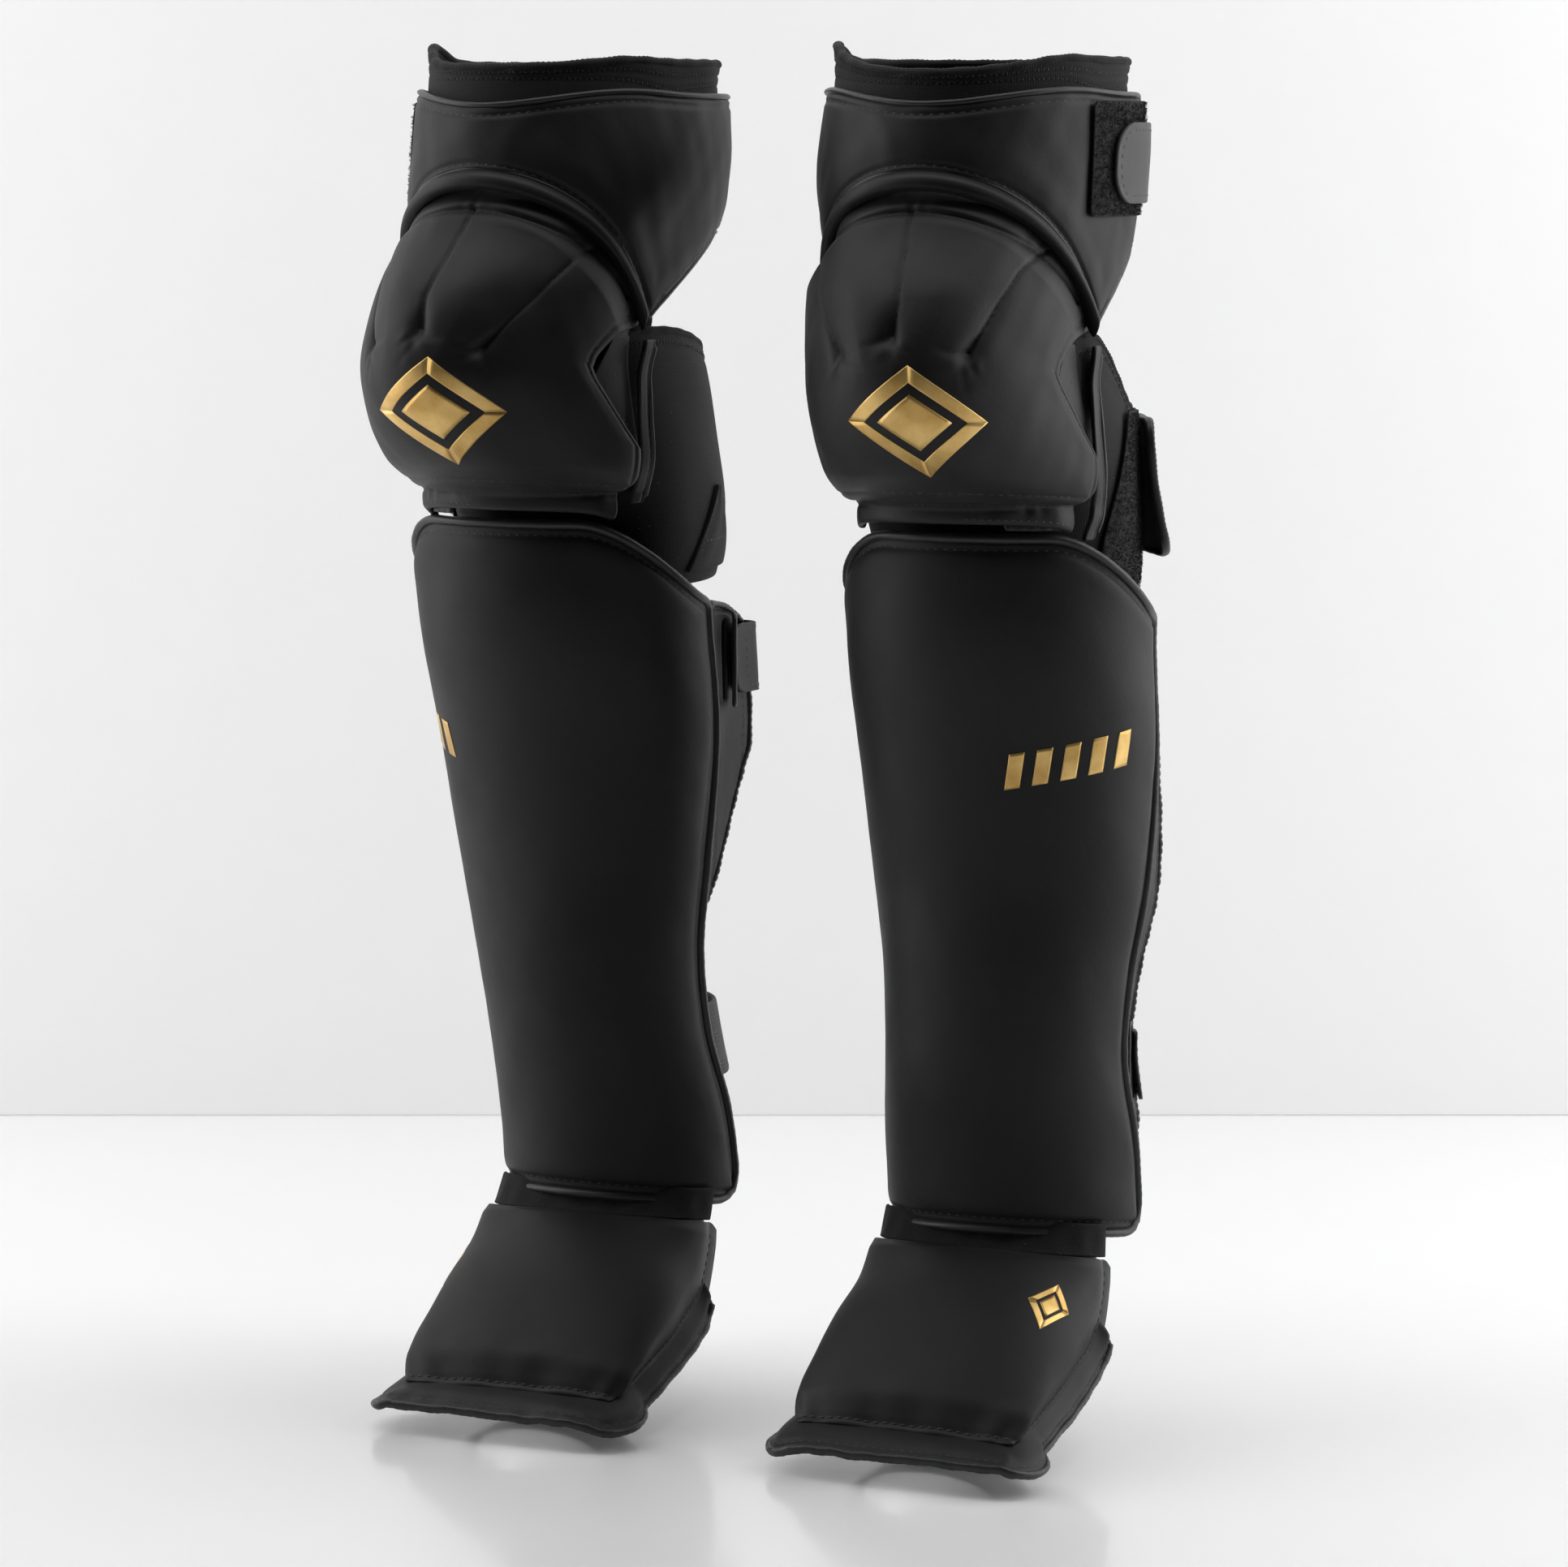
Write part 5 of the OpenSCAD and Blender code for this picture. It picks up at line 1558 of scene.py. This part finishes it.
camera_foot = Vector((CAMERA_AT.x, CAMERA_AT.y, 0))
wall_foot = camera_foot + forward * WALL_DISTANCE
board("studio_floor", camera_foot + forward * 1.5 + Vector((0, 0, -0.0005)), right, forward, 9.0, 3.12,
      plain("pale_gloss_floor", (0.74, 0.74, 0.745), 0.3, gloss=0.6))
wall_board = board("studio_wall", wall_foot + Vector((0, 0, 1.6)), right, Vector((0, 0, 1)), 9.0, 3.2,
                   plain("pale_wall", (0.9, 0.9, 0.905), 0.7))


def clear_from_behind(material):
    """Lets the guards be seen from behind the wall, whose front faces them."""
    tree = material.node_tree
    ends = next(n for n in tree.nodes if n.type == "OUTPUT_MATERIAL")
    paint = next(n for n in tree.nodes if n.type == "BSDF_PRINCIPLED")
    choice = tree.nodes.new("ShaderNodeMixShader")
    tree.links.new(tree.nodes.new("ShaderNodeNewGeometry").outputs["Backfacing"], choice.inputs[0])
    tree.links.new(paint.outputs[0], choice.inputs[1])
    tree.links.new(tree.nodes.new("ShaderNodeBsdfTransparent").outputs[0], choice.inputs[2])
    tree.links.new(choice.outputs[0], ends.inputs["Surface"])


clear_from_behind(wall_board.data.materials[0])


def soft_light(name, at, aim, w, h, power, colour=(1, 1, 1)):
    data = bpy.data.lights.new(name, "AREA")
    data.shape, data.size, data.size_y, data.energy, data.color = "RECTANGLE", w, h, power, colour
    obj = bpy.data.objects.new(name, data)
    bpy.context.scene.collection.objects.link(obj)
    obj.location = at
    obj.rotation_euler = (Vector(aim) - Vector(at)).to_track_quat("-Z", "Y").to_euler()
    obj.visible_camera = False
    return obj


centre = Vector((0, 0, 0.35))
soft_light("box_left", centre - right * 1.5 + forward * 0.1 + Vector((0, 0, 0.4)), centre, 1.2, 1.7, 19)
soft_light("box_right", centre + right * 1.5 + forward * 0.1 + Vector((0, 0, 0.4)), centre, 1.2, 1.7, 23)
soft_light("box_top", centre + forward * 0.6 + Vector((0, 0, 1.8)), centre, 2.0, 1.0, 8)
soft_light("wall_wash", wall_foot - forward * 0.9 + Vector((0, 0, 2.6)), wall_foot + Vector((0, 0, 0.9)),
           4.0, 0.6, 38)

world = bpy.data.worlds.new("studio")
bpy.context.scene.world = world
world.use_nodes = True
world.node_tree.nodes["Background"].inputs[0].default_value = (1, 1, 1, 1)
world.node_tree.nodes["Background"].inputs[1].default_value = 0.05
# what the camera sees past the floor and wall is pale, though it gives little light
seen = world.node_tree.nodes.new("ShaderNodeBackground")
seen.inputs[1].default_value = 0.82
either = world.node_tree.nodes.new("ShaderNodeMixShader")
rays = world.node_tree.nodes.new("ShaderNodeLightPath")
world.node_tree.links.new(rays.outputs["Is Camera Ray"], either.inputs[0])
world.node_tree.links.new(world.node_tree.nodes["Background"].outputs[0], either.inputs[1])
world.node_tree.links.new(seen.outputs[0], either.inputs[2])
world.node_tree.links.new(either.outputs[0], world.node_tree.nodes["World Output"].inputs[0])
bpy.context.scene.view_settings.view_transform = "Standard"

lens = bpy.data.cameras.new("view")
camera = bpy.data.objects.new("view", lens)
bpy.context.scene.collection.objects.link(camera)
lens.sensor_width = 36.0
lens.lens = 115.53
camera.location = CAMERA_AT
aim = forward * math.cos(CAMERA_DOWN) + Vector((0, 0, -math.sin(CAMERA_DOWN)))
camera.rotation_euler = aim.to_track_quat("-Z", "Y").to_euler()
bpy.context.scene.camera = camera
